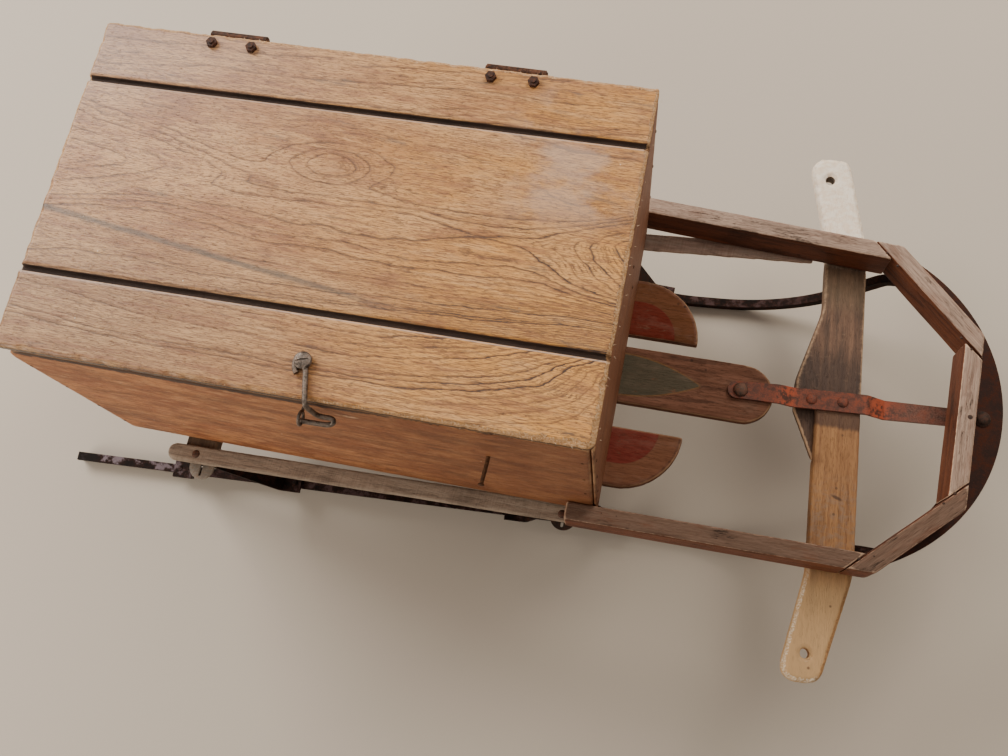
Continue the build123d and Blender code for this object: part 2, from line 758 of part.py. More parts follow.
with BuildPart() as lid_leaves:
    for hinge_x in hinge_xs:
        # Length, and the edges in y, of the flat leaf and of its strip to the knuckle
        flats = [
            (hinge_length, box_left_y - hinge_leaf_depth, leaf_edge),
            (knuckle_length, leaf_edge, pin_y),
        ]
        for length, y_low, y_high in flats:
            with BuildSketch(crosswise_plane(hinge_x - length / 2)):
                with Locations(((y_low + y_high) / 2, (leaf_low + lid_bottom) / 2)):
                    Rectangle(y_high - y_low, hinge_leaf_thickness)
            extrude(amount=length)
        for radius, mode in knuckle_circles:
            with BuildSketch(crosswise_plane(hinge_x - knuckle_length / 2)):
                with Locations((pin_y, pin_z)):
                    Circle(radius)
            extrude(amount=knuckle_length, mode=mode)
    with Locations(*[(x, y, lid_bottom) for x, y in lid_bolt_places]):
        Hole(lid_bolt_radius + hole_clearance)
lid_leaves.part.label = "hinge_lid_leaves"
export_step(lid_leaves.part, "parts/hinge_lid_leaves.step")

with BuildPart() as box_leaves:
    for hinge_x in hinge_xs:
        outer_xs = [hinge_x - knuckle_pitch, hinge_x + knuckle_pitch]
        # Middle, length, and z edges of the flat leaf and of its strips to the knuckles
        flats = [(hinge_x, hinge_length, pin_z - hinge_box_leaf_height, pin_z - knuckle_clear)]
        for x in outer_xs:
            flats.append((x, knuckle_length, pin_z - knuckle_clear, pin_z - hinge_leaf_thickness))
        for x, length, z_low, z_high in flats:
            with BuildSketch(crosswise_plane(x - length / 2)):
                with Locations((box_left_y + hinge_leaf_thickness / 2, (z_low + z_high) / 2)):
                    Rectangle(hinge_leaf_thickness, z_high - z_low)
            extrude(amount=length)
        for x in outer_xs:
            for radius, mode in knuckle_circles:
                with BuildSketch(crosswise_plane(x - knuckle_length / 2)):
                    with Locations((pin_y, pin_z)):
                        Circle(radius)
                extrude(amount=knuckle_length, mode=mode)
box_leaves.part.label = "hinge_box_leaves"
export_step(box_leaves.part, "parts/hinge_box_leaves.step")

with BuildPart() as hinge_pins:
    for hinge_x in hinge_xs:
        with BuildSketch(crosswise_plane(hinge_x - hinge_length / 2)):
            with Locations((pin_y, pin_z)):
                Circle(hinge_pin_radius)
        extrude(amount=hinge_length)
        for head_x in (hinge_x - hinge_length / 2 - hinge_pin_head, hinge_x + hinge_length / 2):
            with BuildSketch(crosswise_plane(head_x)):
                with Locations((pin_y, pin_z)):
                    Circle(hinge_pin_head_radius)
            extrude(amount=hinge_pin_head)
hinge_pins.part.label = "hinge_pins"
export_step(hinge_pins.part, "parts/hinge_pins.step")

with BuildPart() as lid_bolts:
    for x, y in lid_bolt_places:
        with BuildSketch(Plane((x, y, lid_bottom - hinge_leaf_thickness))):
            Circle(lid_bolt_radius)
        extrude(amount=hinge_leaf_thickness + lid_thickness + lid_nut_height + lid_bolt_end)
        with BuildSketch(Plane((x, y, lid_top))):
            RegularPolygon(lid_nut_width / 2, 6, major_radius=False)
        extrude(amount=lid_nut_height)
lid_bolts.part.label = "lid_bolts"
export_step(lid_bolts.part, "parts/lid_bolts.step")

# Hook: an eye under its screw, a shank over the lid's edge, and a turn back towards the ring
hook_z = lid_top + latch_slack + latch_wire / 2
with BuildPart() as latch_hook:
    drop_x = screw_x + hook_slant
    drop_y = box_right_y - hook_overhang
    drop_z = lid_top - hook_drop
    turn_x = drop_x + hook_side_reach
    tip_x = eye_x + eye_wire / 2 + hook_tip_gap
    shank_start = Vector(screw_x, screw_y - latch_eye_radius, hook_z)
    with BuildLine() as wire_line:
        FilletPolyline(
            shank_start,
            (drop_x, drop_y, hook_z),
            (drop_x, drop_y, drop_z),
            (turn_x, drop_y, drop_z),
            (turn_x, drop_y - hook_turn_out, drop_z - hook_turn_down),
            (tip_x, drop_y - hook_turn_out, drop_z - hook_turn_down),
            radius=[hook_corner_radius, hook_corner_radius, hook_turn_radius, hook_turn_radius],
        )
    with BuildSketch(Plane(origin=shank_start, z_dir=wire_line.line % 0)):
        Circle(latch_wire / 2)
    sweep(path=wire_line.line)
    with Locations((screw_x, screw_y, hook_z)):
        Torus(latch_eye_radius, latch_wire / 2)
latch_hook.part.label = "latch_hook"
export_step(latch_hook.part, "parts/latch_hook.step")

with BuildPart() as latch_screw:
    head_bottom = lid_top + latch_wire + 2 * latch_slack
    with BuildSketch(Plane((screw_x, screw_y, lid_top - latch_screw_depth))):
        Circle(latch_screw_radius)
    extrude(amount=head_bottom - lid_top + latch_screw_depth)
    with BuildSketch(Plane((screw_x, screw_y, head_bottom))):
        Circle(latch_head_radius)
    extrude(amount=latch_head_height)
    chamfer(latch_screw.edges().group_by(Axis.Z)[-1], latch_head_height * head_bevel)
latch_screw.part.label = "latch_screw"
export_step(latch_screw.part, "parts/latch_screw.step")

with BuildPart() as screw_eye:
    with Locations(Location((eye_x, eye_y, eye_z), (0, 90, 0))):
        Torus(eye_ring_radius, eye_wire / 2)
    with BuildSketch(lengthwise_plane(eye_y + eye_ring_radius)):
        with Locations((eye_x, eye_z)):
            Circle(eye_wire / 2)
    extrude(amount=-(eye_stand_off - eye_ring_radius + eye_shank_depth))
screw_eye.part.label = "screw_eye"
export_step(screw_eye.part, "parts/screw_eye.step")

with BuildPart() as peg_nail:
    with BuildSketch(lengthwise_plane(box_right_y + nail_depth)):
        with Locations((nail_x, nail_z)):
            Circle(nail_radius)
    extrude(amount=nail_depth + nail_length)
    with BuildSketch(lengthwise_plane(box_right_y - nail_length)):
        with Locations((nail_x, nail_z)):
            Circle(nail_head_radius)
    extrude(amount=nail_head_thickness)
peg_nail.part.label = "peg_nail"
export_step(peg_nail.part, "parts/peg_nail.step")

# Guard: an open frame from the box's sides round the nose
wall_ys = {"left": box_left_y, "right": box_right_y}
starts, corners, noses = {}, {}, {}
for side, sign in sides.items():
    corner_x = pivot_x + guard_corner_reaches[side]
    corners[side] = Vector(corner_x, centre_y + sign * guard_corner_halves[side])
    nose_x = pivot_x + guard_nose_reaches[side]
    noses[side] = Vector(nose_x, centre_y + sign * guard_nose_halves[side])
    past_box = (corners[side].Y - wall_ys[side]) / (corner_x - box_front_x)
    starts[side] = Vector(box_front_x - guard_overlap, wall_ys[side] - guard_overlap * past_box)


def outer_line(start, end, sign):
    """A piece's outer face in plan, from its inner face between two places: a place and a heading."""
    heading = (end - start).normalized()
    return start + Vector(-heading.Y, heading.X) * (sign * guard_thickness), heading


def meeting(line, other):
    """Where two lines in plan cross, each given by a place and a heading."""
    (place, heading), (other_place, other_heading) = line, other
    apart = other_place - place
    across = heading.X * other_heading.Y - heading.Y * other_heading.X
    return place + heading * ((apart.X * other_heading.Y - apart.Y * other_heading.X) / across)


nose_line = outer_line(noses["left"], noses["right"], 1)
guard_outlines, nose_tips = {}, {}
for side, sign in sides.items():
    rail_line = outer_line(starts[side], corners[side], sign)
    diagonal_line = outer_line(corners[side], noses[side], sign)
    inner_line = (corners[side], diagonal_line[1])
    rail_tip = meeting(rail_line, inner_line)
    nose_tips[side] = meeting(nose_line, inner_line)
    outer_edge = [meeting(nose_line, diagonal_line), meeting(rail_line, diagonal_line)]
    guard_outlines[f"guard_rail_{side}"] = [starts[side], corners[side], rail_tip, rail_line[0]]
    guard_outlines[f"guard_diagonal_{side}"] = [rail_tip, nose_tips[side], *outer_edge]
nose_outer_edge = [nose_tips["right"], nose_tips["left"]]
guard_outlines["guard_nose"] = [noses["left"], noses["right"], *nose_outer_edge]

for guard_name, outline in guard_outlines.items():
    with BuildPart() as guard_piece:
        with BuildSketch(Plane.XY.offset(rail_top)) as guard_plan:
            with BuildLine():
                Polyline(*outline, close=True)
            make_face()
            if "diagonal" in guard_name:
                outer_corners = guard_plan.vertices().sort_by_distance(outline[2])[:1]
                outer_corners += guard_plan.vertices().sort_by_distance(outline[3])[:1]
                fillet(outer_corners, guard_corner_round)
        extrude(amount=guard_height)
        along = Axis(outline[0], outline[1] - outline[0])
        fillet(guard_piece.edges().filter_by(along), guard_edge_round)
    guard_piece.part.label = guard_name
    export_step(guard_piece.part, f"parts/{guard_name}.step")
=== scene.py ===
from functools import partialmethod
from math import cos, pi, radians, sin

import bmesh
import bpy
import numpy as np
from mathutils import Matrix, Vector, noise


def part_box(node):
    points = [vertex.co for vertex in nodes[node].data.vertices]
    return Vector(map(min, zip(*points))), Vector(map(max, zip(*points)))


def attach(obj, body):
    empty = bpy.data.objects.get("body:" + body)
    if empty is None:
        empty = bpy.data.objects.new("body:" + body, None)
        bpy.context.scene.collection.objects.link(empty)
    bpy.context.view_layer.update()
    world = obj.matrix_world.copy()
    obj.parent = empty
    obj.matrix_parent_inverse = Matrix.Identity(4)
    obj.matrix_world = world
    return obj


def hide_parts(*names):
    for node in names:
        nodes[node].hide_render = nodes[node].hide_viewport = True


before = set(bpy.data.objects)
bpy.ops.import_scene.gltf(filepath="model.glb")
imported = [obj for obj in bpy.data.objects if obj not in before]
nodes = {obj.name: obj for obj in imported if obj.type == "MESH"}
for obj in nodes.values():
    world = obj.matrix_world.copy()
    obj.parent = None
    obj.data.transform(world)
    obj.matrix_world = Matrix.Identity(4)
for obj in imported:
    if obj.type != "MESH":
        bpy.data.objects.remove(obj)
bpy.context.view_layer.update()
scene = bpy.context.scene
MM = 0.001
UP = (0, 0, 1)
lid_low, lid_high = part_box("lid_panel")
wall_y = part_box("box_side_right")[0].y


# Camera and lights


def placed(name, data):
    """A new object in the scene, at the origin."""
    thing = bpy.data.objects.new(name, data)
    scene.collection.objects.link(thing)
    return thing


lens = bpy.data.cameras.new("photograph_view")
lens.lens = 36.72
lens.sensor_width = 36
camera = placed("photograph_view", lens)
camera.matrix_world = Matrix((
    (0.97547898, -0.16276322, 0.14815159, 0.17018),
    (0.19875035, 0.9405971, -0.27527331, -0.34052),
    (-0.09454659, 0.2979685, 0.94988195, 1.21305),
    (0, 0, 0, 1),
))
scene.camera = camera


def soft_box(name, place, towards, width, power, tint):
    """A square area light that faces a place."""
    light = bpy.data.lights.new(name, "AREA")
    light.size = width
    light.energy = power
    light.color = tint
    lamp = placed(name, light)
    lamp.location = place
    lamp.rotation_euler = (Vector(towards) - Vector(place)).to_track_quat("-Z", "Y").to_euler()


soft_box("window_light", (-2.3, 1.3, 1.9), (0, 0, 0.1), 1.7, 104, (1, 0.98, 0.95))
soft_box("room_light", (-1.5, -1.25, 1.0), (-0.1, 0, 0.15), 1.1, 21, (1, 0.92, 0.82))
soft_box("ceiling_light", (0.4, 0.6, 2.9), (0.1, 0, 0), 2.6, 24, (1, 0.94, 0.86))
soft_box("far_light", (1.0, 1.5, 1.5), (0.4, 0.2, 0.1), 1.0, 25, (1, 0.93, 0.84))
world = bpy.data.worlds.new("studio")
world.use_nodes = True
world.node_tree.nodes["Background"].inputs["Color"].default_value = (1, 0.94, 0.88, 1)
world.node_tree.nodes["Background"].inputs["Strength"].default_value = 0.25
scene.world = world


# Shader fields


def colour(code):
    """A linear colour from a six-figure screen colour."""
    parts = [int(code[i:i + 2], 16) / 255 for i in (0, 2, 4)]
    return tuple(((p + 0.055) / 1.055) ** 2.4 if p > 0.04 else p / 12.92 for p in parts) + (1,)


def feed(tree, socket, value):
    """Give a socket a field, a colour code or a plain value."""
    if isinstance(value, Field):
        tree.links.new(value.socket, socket)
    elif isinstance(value, str):
        socket.default_value = colour(value)
    else:
        socket.default_value = value


def shader_node(tree, kind, inputs, output=0, **settings):
    """Add a shader node, feed its named or numbered inputs, and return one of its outputs."""
    node = tree.nodes.new("ShaderNode" + kind)
    for name, value in settings.items():
        setattr(node, name, value)
    for name, value in inputs.items():
        feed(tree, node.inputs[name], value)
    return Field(tree, node.outputs[output])


class Field:
    """A value, colour or place that varies over a surface. Arithmetic on it adds Math nodes."""

    def __init__(self, tree, socket):
        self.tree = tree
        self.socket = socket

    def node(self, kind, inputs, output=0, **settings):
        """Another node in this field's tree, with this field in its first input unless another is named."""
        return shader_node(self.tree, kind, {0: self, **inputs}, output, **settings)

    def math(self, operation, other=0.0):
        return self.node("Math", {1: other}, operation=operation)

    __add__ = __radd__ = partialmethod(math, "ADD")
    __mul__ = __rmul__ = partialmethod(math, "MULTIPLY")
    __sub__ = partialmethod(math, "SUBTRACT")
    __truediv__ = partialmethod(math, "DIVIDE")

    def __rsub__(self, other):
        return self * -1 + other

    def between(self, low, high):
        """0 below low, 1 above high, and smooth from one to the other."""
        limits = {"From Min": low, "From Max": high}
        return self.node("MapRange", limits, interpolation_type="SMOOTHSTEP")

    def below(self, low, high):
        """1 below low, 0 above high, and smooth from one to the other."""
        return 1 - self.between(low, high)

    def inside(self, low, high, soft):
        """1 from low to high, with soft edges."""
        return self.between(low - soft, low + soft) * self.below(high - soft, high + soft)

    def distance_with(self, other):
        """The length of a way that this and another field are the two sides of."""
        return (self * self + other * other).math("SQRT")

    def axes(self):
        """The three parts of a place or direction."""
        return [self.node("SeparateXYZ", {}, output) for output in range(3)]

    def drawn_out(self, sizes, heading=0.0, shift=(0, 0, 0)):
        """This place turned to a heading in degrees and divided by one or three sizes in millimetres."""
        sizes = sizes if isinstance(sizes, tuple) else (sizes, sizes, sizes)
        scale = tuple(size * MM for size in sizes)
        turned_place = {"Location": shift, "Rotation": (0, 0, radians(heading)), "Scale": scale}
        return self.node("Mapping", turned_place, vector_type="TEXTURE")

    def noise(self, detail, roughness=0.55, distortion=0.0):
        """Soft random values about 0.5 that change over a distance of 1 in this place."""
        choices = {"Scale": 1.0, "Detail": detail, "Roughness": roughness, "Distortion": distortion}
        return self.node("TexNoise", choices)


def blend(share, first, second):
    """One colour where the share is 0 and the other where it is 1."""
    return share.node("Mix", {6: first, 7: second}, 2, data_type="RGBA")


def layered(base, *layers):
    """A colour under layers, each of which is a share of cover and a colour."""
    for share, paint in layers:
        base = blend(share, base, paint)
    return base


class Finish:
    """A material with its Principled shader, and the surface's own place, direction and wear."""

    def __init__(self, name):
        self.material = bpy.data.materials.new(name)
        self.material.use_nodes = True
        self.tree = self.material.node_tree
        self.shader = self.tree.nodes["Principled BSDF"]
        self.place = shader_node(self.tree, "TexCoord", {}, "Object")
        self.facing = shader_node(self.tree, "TexCoord", {}, "Normal").axes()
        self.worn, self.rim = self.held("worn"), self.held("rim")
        self.x, self.y, self.z = self.place.axes()

    def held(self, name):
        """The value that the mesh holds under a name."""
        return shader_node(self.tree, "Attribute", {}, "Fac", attribute_name=name)

    def soft(self, sizes, detail, roughness=0.55, heading=0.0, shift=(0, 0, 0)):
        """Soft random values that change over sizes in millimetres along and across a heading."""
        return self.place.drawn_out(sizes, heading, shift).noise(detail, roughness)

    def specks(self, spacing, share, radius=0.2):
        """1 in round spots in this share of the cells, a spacing in millimetres wide.

        The radius is a part of the spacing.
        """
        cells = self.place.drawn_out(spacing)
        choices = {"Scale": 1.0, "Randomness": 1.0}
        distance = cells.node("TexVoronoi", choices, 0)
        chosen = cells.node("TexVoronoi", choices, 1).node("SeparateColor", {}, 0)
        return distance.below(radius * 0.6, radius * 1.4) * chosen.below(share - 0.01, share + 0.01)

    def distance_from(self, x, y):
        """The distance in plan from a place."""
        return (self.x - x).distance_with(self.y - y)

    def painted(self, base, roughness, height, depth, **constants):
        """Give the shader its colour, roughness, relief and other inputs, and return the material."""
        bump = height.node("Bump", {0: 1.0, "Distance": depth, "Height": height})
        inputs = {"Base Color": base, "Roughness": roughness, "Normal": bump}
        for name, value in constants.items():
            inputs[name.replace("_", " ").title().replace("Ior", "IOR")] = value
        for name, value in inputs.items():
            feed(self.tree, self.shader.inputs[name], value)
        return self.material


# Wood


class Grain:
    """The figure of sawn wood: growth lines, fibres and pores, drawn out along a heading."""

    def __init__(self, finish, heading, figure, ring, draw, seed, waviness=0.35):
        shift = (seed * 3.1, seed * 1.7, seed * 2.3)

        def drawn(sizes, *detail):
            return finish.place.drawn_out(sizes, heading, shift).noise(*detail)

        shading = drawn((draw * figure, figure, figure), 1.2, 0.5, 0.4)
        ripple = drawn((14, 4, 9), 3, 0.65)
        part = (shading * (figure / ring) + ripple * waviness).math("FRACT")
        late = part.between(0.35, 0.93) * part.below(0.94, 1.0)
        self.lines = late * drawn((70, 10, 24), 3, 0.6).between(0.38, 0.62)
        self.fibres = drawn((24, 0.9, 1.2), 3, 0.7)
        self.streaks = drawn((110, 5, 8), 4, 0.65)
        self.pores = drawn((8, 0.55, 0.8), 1).between(0.58, 0.68)
        self.patches = drawn((60, 30, 40), 4, 0.65)

    def coloured(self, pale, middle, dark, line, line_share):
        """The grain's colours from pale to dark, with its lines and pores."""
        return layered(
            blend(self.streaks.between(0.36, 0.64), pale, middle),
            (self.patches.between(0.5, 0.7) * 0.6, dark),
            (self.fibres.between(0.5, 0.75) * 0.45, dark),
            (self.lines * line_share, line),
            (self.pores * 0.4, line),
        )

    def relief(self):
        """The height of the surface, in the same units as its depth in `painted`."""
        return self.fibres * 0.7 - self.lines * 0.4 - self.pores * 0.5


# The lid's two grooves: their places on y, their slant, and the place on x that they slant about.
grooves = (-84.8 * MM, 106.5 * MM)
groove_slope, groove_turn = 0.006, -0.13


def lid_panelling():
    """Grooved oak panelling under old varnish, chipped and crumbly at its edges, with a painted reflection
    and glare on its top, painted shade in its grooves and painted light and shade on its edge faces.
    """
    f = Finish("lid_panelling")
    growth, slope = f.held("growth"), f.held("slope")
    jag = f.soft((7, 2.4, 4), 4, 0.75) - 0.5
    sway = f.soft((34, 9, 12), 3, 0.6) - 0.5
    along = f.soft((55, 7, 20), 4, 0.65)
    dense = f.x.between(-0.2, 0.1) * f.y.below(-0.02, 0.06)

    turns = growth + (jag * 1.9 + sway * 7.0) * slope
    part = turns.math("FRACT")
    away = part.math("MINIMUM", 1 - part) / slope
    chance = (turns + 0.5).math("FLOOR").node("TexWhiteNoise", {})
    strength = (chance * 0.7 + along).between(0.82, 1.16)
    thin = away.below(0.1, 0.9) * (0.04 + strength * (0.5 + dense * 0.5))
    late_share = 0.2 + dense * 0.45 + strength * (0.6 - dense * 0.3)
    late = (part / slope).below(0.2, 2.9 - dense * 0.7) * late_share
    minor_part = (turns * 3.0 + jag).math("FRACT")
    minor = minor_part.between(0.45, 0.9) * minor_part.below(0.92, 1.0) * along.between(0.42, 0.7)

    fibres = f.soft((15, 0.9, 1.2), 3, 0.7, -1)
    pores = f.soft((6, 0.55, 0.8), 1, heading=-1, shift=(0.4, 0, 0)).between(0.6, 0.68)
    broad = f.soft((130, 35, 50), 4, 0.6, shift=(0.5, 0.2, 0))
    golden = f.x.between(-0.25, 0.12) * f.soft((100, 40, 100), 4).between(0.38, 0.62)
    dull = f.x.below(-0.3, -0.05) * f.y.below(-0.1, 0.0)
    ruddy = f.soft((50, 7, 30), 5, 0.7, -2, (0.9, 0, 0))
    band = f.y + f.x * 0.131 + 0.078
    mineral = (band + sway * 5 * MM).math("ABSOLUTE").below(0.8 * MM, 4.5 * MM)
    mineral = mineral * f.x.below(-0.13, -0.03) * (0.5 + along * 0.6)
    smudges = f.soft((60, 9, 30), 5, 0.68, -3, (0.3, 0, 0)).between(0.6, 0.72)
    # A mauve-grey painted reflection of the window over the rear of the far side.
    painted_reflection_far_rear = f.x.below(-0.42, -0.05) * f.y.between(0.04, 0.15)
    # A pale painted glare over the front of the far side.
    painted_glare_far_front = f.soft((90, 60, 100), 5, 0.6, shift=(0.7, 0.2, 0)).between(0.46, 0.6)
    painted_glare_far_front = painted_glare_far_front * f.x.inside(0.02, 0.12, 0.03) * f.y.inside(0.03, 0.15, 0.02)
    ticks = f.specks(12, 0.06, 0.06)

    across = f.y - (f.x - groove_turn) * groove_slope

    def beside_grooves(start, end):
        """1 in a strip along each groove, between two distances in millimetres from its middle."""
        first, second = (across.inside(g + start * MM, g + end * MM, 0.35 * MM) for g in grooves)
        return first + second

    underside = f.facing[2].below(-0.8, -0.4)
    groove = beside_grooves(-3.0, 3.0) * (1 - underside)
    crumbs = f.soft(1.5, 4, 0.75)
    lumps = f.soft(6, 3, 0.7)
    edge = (f.worn + crumbs * 0.8 + lumps * 0.6 - 0.82).between(0.22, 0.36)
    edge_colour = blend(crumbs.between(0.4, 0.66), "b07f52", "dfbc92")
    edge_colour = blend(lumps.between(0.58, 0.68) * 0.6, edge_colour, "7c5233")
    side = (f.z + lumps * 3 * MM).below(lid_high.z - 4 * MM, lid_high.z - 2 * MM) * (1 - underside)
    # Painted light and shade on the lid's edge faces: near-black unless they face the near side, and lighter
    # towards the front.
    side_light = f.facing[1].between(-0.8, -0.3) + f.x.between(-0.08, 0.06) * 0.45
    side_painted_shade = blend(side_light, "1d120c", blend(crumbs.between(0.4, 0.6), "573824", "8f6641"))

    base = layered(
        blend(broad.between(0.36, 0.64), "d09b63", "b37b47"),
        (golden * 0.75, "cc8a33"),
        (dense * 0.5, "e09d44"),
        (dull * 0.45, "8d7454"),
        (ruddy.between(0.5, 0.62) * 0.5, "885034"),
        (ruddy.below(0.36, 0.47) * 0.4, "d8a670"),
        (fibres.between(0.5, 0.62) * 0.8, "704424"),
        (fibres.below(0.3, 0.46) * 0.3, "d8aa78"),
        (minor * (0.6 + dense * 0.35), "5f3c1d"),
        (late * (0.68 + dense * 0.3), "653a14"),
        (thin * 0.9, "38241a"),
        (pores * 0.6, "4f3520"),
        (mineral * 0.85, "574c41"),
        (smudges * 0.6, "5f4e3f"),
        (painted_reflection_far_rear * 0.3, "a8938a"),
        (painted_glare_far_front * 0.42, "c4aa98"),
        (ticks * 0.8, "e8d6bd"),
        # A painted highlight along the near lip of each groove.
        (beside_grooves(-4.5, -3.2) * 0.65, "c0a898"),
        # The grooves painted dark brown all over: painted shade, with the dirt in them.
        (groove * 0.97, blend(along.between(0.4, 0.6), "33221a", "281912")),
        (edge * 0.8, edge_colour),
        (side * 0.95, side_painted_shade),
        (underside * 0.6, blend(ruddy.between(0.4, 0.6), "8a6342", "6a4529")),
    )
    roughness = 0.4 + broad * 0.12 + thin * 0.15 + edge * 0.4 + groove * 0.4
    height = fibres * 0.6 - thin * 0.5 - pores * 0.5 + crumbs * edge * 2.5 + ticks * 0.8
    varnish = (1 - edge) * (1 - groove) * 0.15
    return f.painted(base, roughness, height, 0.3 * MM, coat_weight=varnish, coat_roughness=0.3)


def box_board(name, heading, seed, tone, lit):
    """Orange-brown plywood with soft streaks and short dark flecks, a painted shadow under the lid and
    painted shade darkening it towards the front.
    """
    f = Finish(name)
    grain = Grain(f, heading, figure=34, ring=11, draw=5, seed=seed, waviness=0.6)
    clouds = f.soft((28, 28, 14), 5, 0.7, shift=(seed, 0.6, 0))
    drawn = f.soft((35, 35, 9), 5, 0.74, shift=(0, seed, 0))
    flecks = f.soft((7, 7, 2.2), 3, 0.7, shift=(seed, 0, 0)).between(0.62, 0.68)
    grime = f.soft((90, 90, 30), 5, 0.65, shift=(0.4, 0, 0.2))
    ragged = f.soft((12, 12, 6), 5, 0.75, shift=(0.6, 0, 0))
    scuffs = f.soft((30, 30, 6), 5, 0.7, shift=(0.9, 0, 0)).between(0.67, 0.73)

    overhang, shadow_slope, shadow_top = wall_y - lid_low.y, 3.6, 0.4225
    shadow_edge = shadow_top - overhang * shadow_slope
    shadow_z = f.z + ragged * 16 * MM - f.x.between(-0.14, 0.03) * 9 * MM
    shadow = shadow_z.between(shadow_edge - 3 * MM, shadow_edge - 1 * MM)
    scuff_x, scuff_z = -0.081, 0.3965
    scuff = ((f.x - scuff_x) * (1 / 11)).distance_with((f.z - scuff_z) * (1 / 3.2))
    scuff = scuff.below(0.6 * MM, 1.2 * MM) * f.y.below(-0.1, -0.09) * ragged.between(0.36, 0.56)

    base = layered(
        blend(grain.patches.between(0.38, 0.62), tone[0], tone[1]),
        (grain.streaks.between(0.52, 0.66) * 0.25, tone[2]),
        (clouds.between(0.5, 0.62) * 0.4, tone[2]),
        (clouds.below(0.38, 0.46) * 0.3, lit),
        (grain.fibres.between(0.5, 0.66) * 0.5, tone[2]),
        (grain.lines * 0.4, tone[3]),
        (grain.pores * 0.45, tone[3]),
        (drawn.between(0.52, 0.62) * 0.5, tone[2]),
        (drawn.below(0.36, 0.44) * 0.45, lit),
        (flecks * 0.75, tone[3]),
        (grime.between(0.5, 0.66) * 0.45, "6b3d20"),
        # Painted shade: darker towards the front, as the window light falls off.
        (f.x.between(-0.25, 0.14) * 0.6, "6a3a1c"),
        (shadow * 0.9, "2a1810"),
        (scuff, "d9b08b"),
        (scuffs * 0.4, lit),
        (f.worn.between(0.35, 0.9) * grime.between(0.35, 0.6) * 0.7, "c79a6e"),
        (f.specks(12, 0.06, 0.06) * 0.8, "e6d5c0"),
    )
    return f.painted(base, 0.5 + grain.fibres * 0.2, grain.relief(), 0.35 * MM, specular_ior_level=0.4)


def guard_board(name, heading, seed, pale, arris):
    """Old red-brown lumber, dusty on top and worn pale along its arrises; the darker top colour given to the
    near boards is painted shade.
    """
    f = Finish(name)
    grain = Grain(f, heading, figure=22, ring=5, draw=11, seed=seed, waviness=0.4)
    top = f.facing[2].between(0.45, 0.9)
    dust = f.soft((45, 9, 20), 5, 0.7, heading, (seed, 0.2, 0))
    grey = blend(grain.fibres.between(0.35, 0.7) * 0.8, pale, "846a5a")
    stains = f.soft((24, 6, 20), 5, 0.75, heading, (0.1, seed, 0)).between(0.57, 0.7)
    rough = f.soft((7, 3, 3), 4, 0.75, heading, (0.4, seed, 0))
    rubbed = (f.worn * 0.9 + rough * 0.9 - 0.5).between(0.42, 0.6)
    seams = grain.streaks.inside(0.495, 0.505, 0.005) * grain.patches.between(0.54, 0.6)
    base = layered(
        grain.coloured("81492d", "683822", "4c2817", "26120a", 0.6),
        (top * (0.55 + dust.between(0.3, 0.5) * 0.4), grey),
        (top * (grain.lines * 0.25 + grain.pores * 0.12), "5a4133"),
        (stains * 0.3, "4a3424"),
        (rubbed * arris, "d2b193"),
        (seams * 0.85, "1c110c"),
    )
    roughness = 0.58 + top * 0.22 + dust * 0.1
    height = grain.relief() - seams * 3.0 + rough * f.worn * 1.5
    return f.painted(base, roughness, height, 0.5 * MM, specular_ior_level=0.3)


def rail_board(name, seed, tone):
    """Weathered pine with saw marks across it."""
    f = Finish(name)
    grain = Grain(f, 0, figure=16, ring=4, draw=16, seed=seed, waviness=0.3)
    saw = f.soft((1.5, 30, 30), 3, 0.7, -6, (0, seed, 0))
    dust = f.soft((50, 8, 20), 5, 0.7, shift=(seed, 0, 0))
    base = layered(
        grain.coloured(*tone, 0.4),
        (saw.between(0.5, 0.62) * 0.28, tone[2]),
        (saw.below(0.36, 0.46) * 0.18, "bca894"),
        (dust.between(0.5, 0.62) * 0.5, "b3a08c"),
        (dust.below(0.34, 0.44) * 0.45, "5a493c"),
        (f.worn.between(0.4, 0.9) * 0.4, "b9a38c"),
    )
    return f.painted(base, 0.72 + saw * 0.1, grain.relief() + saw * 0.8, 0.4 * MM)


def bench_board():
    """Plain dark pine under the deck."""
    f = Finish("bench_wood")
    grain = Grain(f, 90, figure=18, ring=5, draw=12, seed=5.0)
    base = grain.coloured("7c5f47", "654a35", "4a3425", "281b12", 0.6)
    base = blend(f.worn.between(0.3, 0.9) * 0.4, base, "94785d")
    return f.painted(base, 0.7 + grain.fibres * 0.15, grain.relief(), 0.4 * MM)


def slat_board(name, seed, decoration):
    """Old varnished slat with worn paint, whose decoration is a list of painted areas."""
    f = Finish(name)
    grain = Grain(f, 0, figure=26, ring=6, draw=12, seed=seed, waviness=0.4)
    rubbed = f.soft((16, 5, 10), 5, 0.72, shift=(seed, 0.3, 0))
    dust = f.soft((40, 16, 20), 5, 0.65, shift=(0.2, seed, 0))
    top = f.facing[2].between(0.5, 0.9)
    base = grain.coloured("7c5340", "684331", "4f3224", "2f1c12", 0.5)
    for area, paint, cover in decoration(f):
        mottled = blend(grain.fibres.between(0.35, 0.7) * 0.3, paint, "2a150c")
        base = blend(area * rubbed.below(0.57, 0.72) * top * cover, base, mottled)
    base = layered(
        base,
        (dust.between(0.5, 0.7) * top * 0.18, "8e7665"),
        ((f.worn + rubbed * 0.5).between(0.7, 1.0) * 0.55, "a4805f"),
        (f.specks(8, 0.05) * 0.6, "1e1510"),
    )
    height = grain.relief() + rubbed * 0.4
    return f.painted(base, 0.55 + rubbed * 0.25, height, 0.35 * MM, specular_ior_level=0.15)


# The heading of the steering bar in degrees, and the middles of the rope holes in its two grips.
bar_heading = 93.5
near_rope_hole, far_rope_hole = (0.3524, -0.2582), (0.3208, 0.2587)


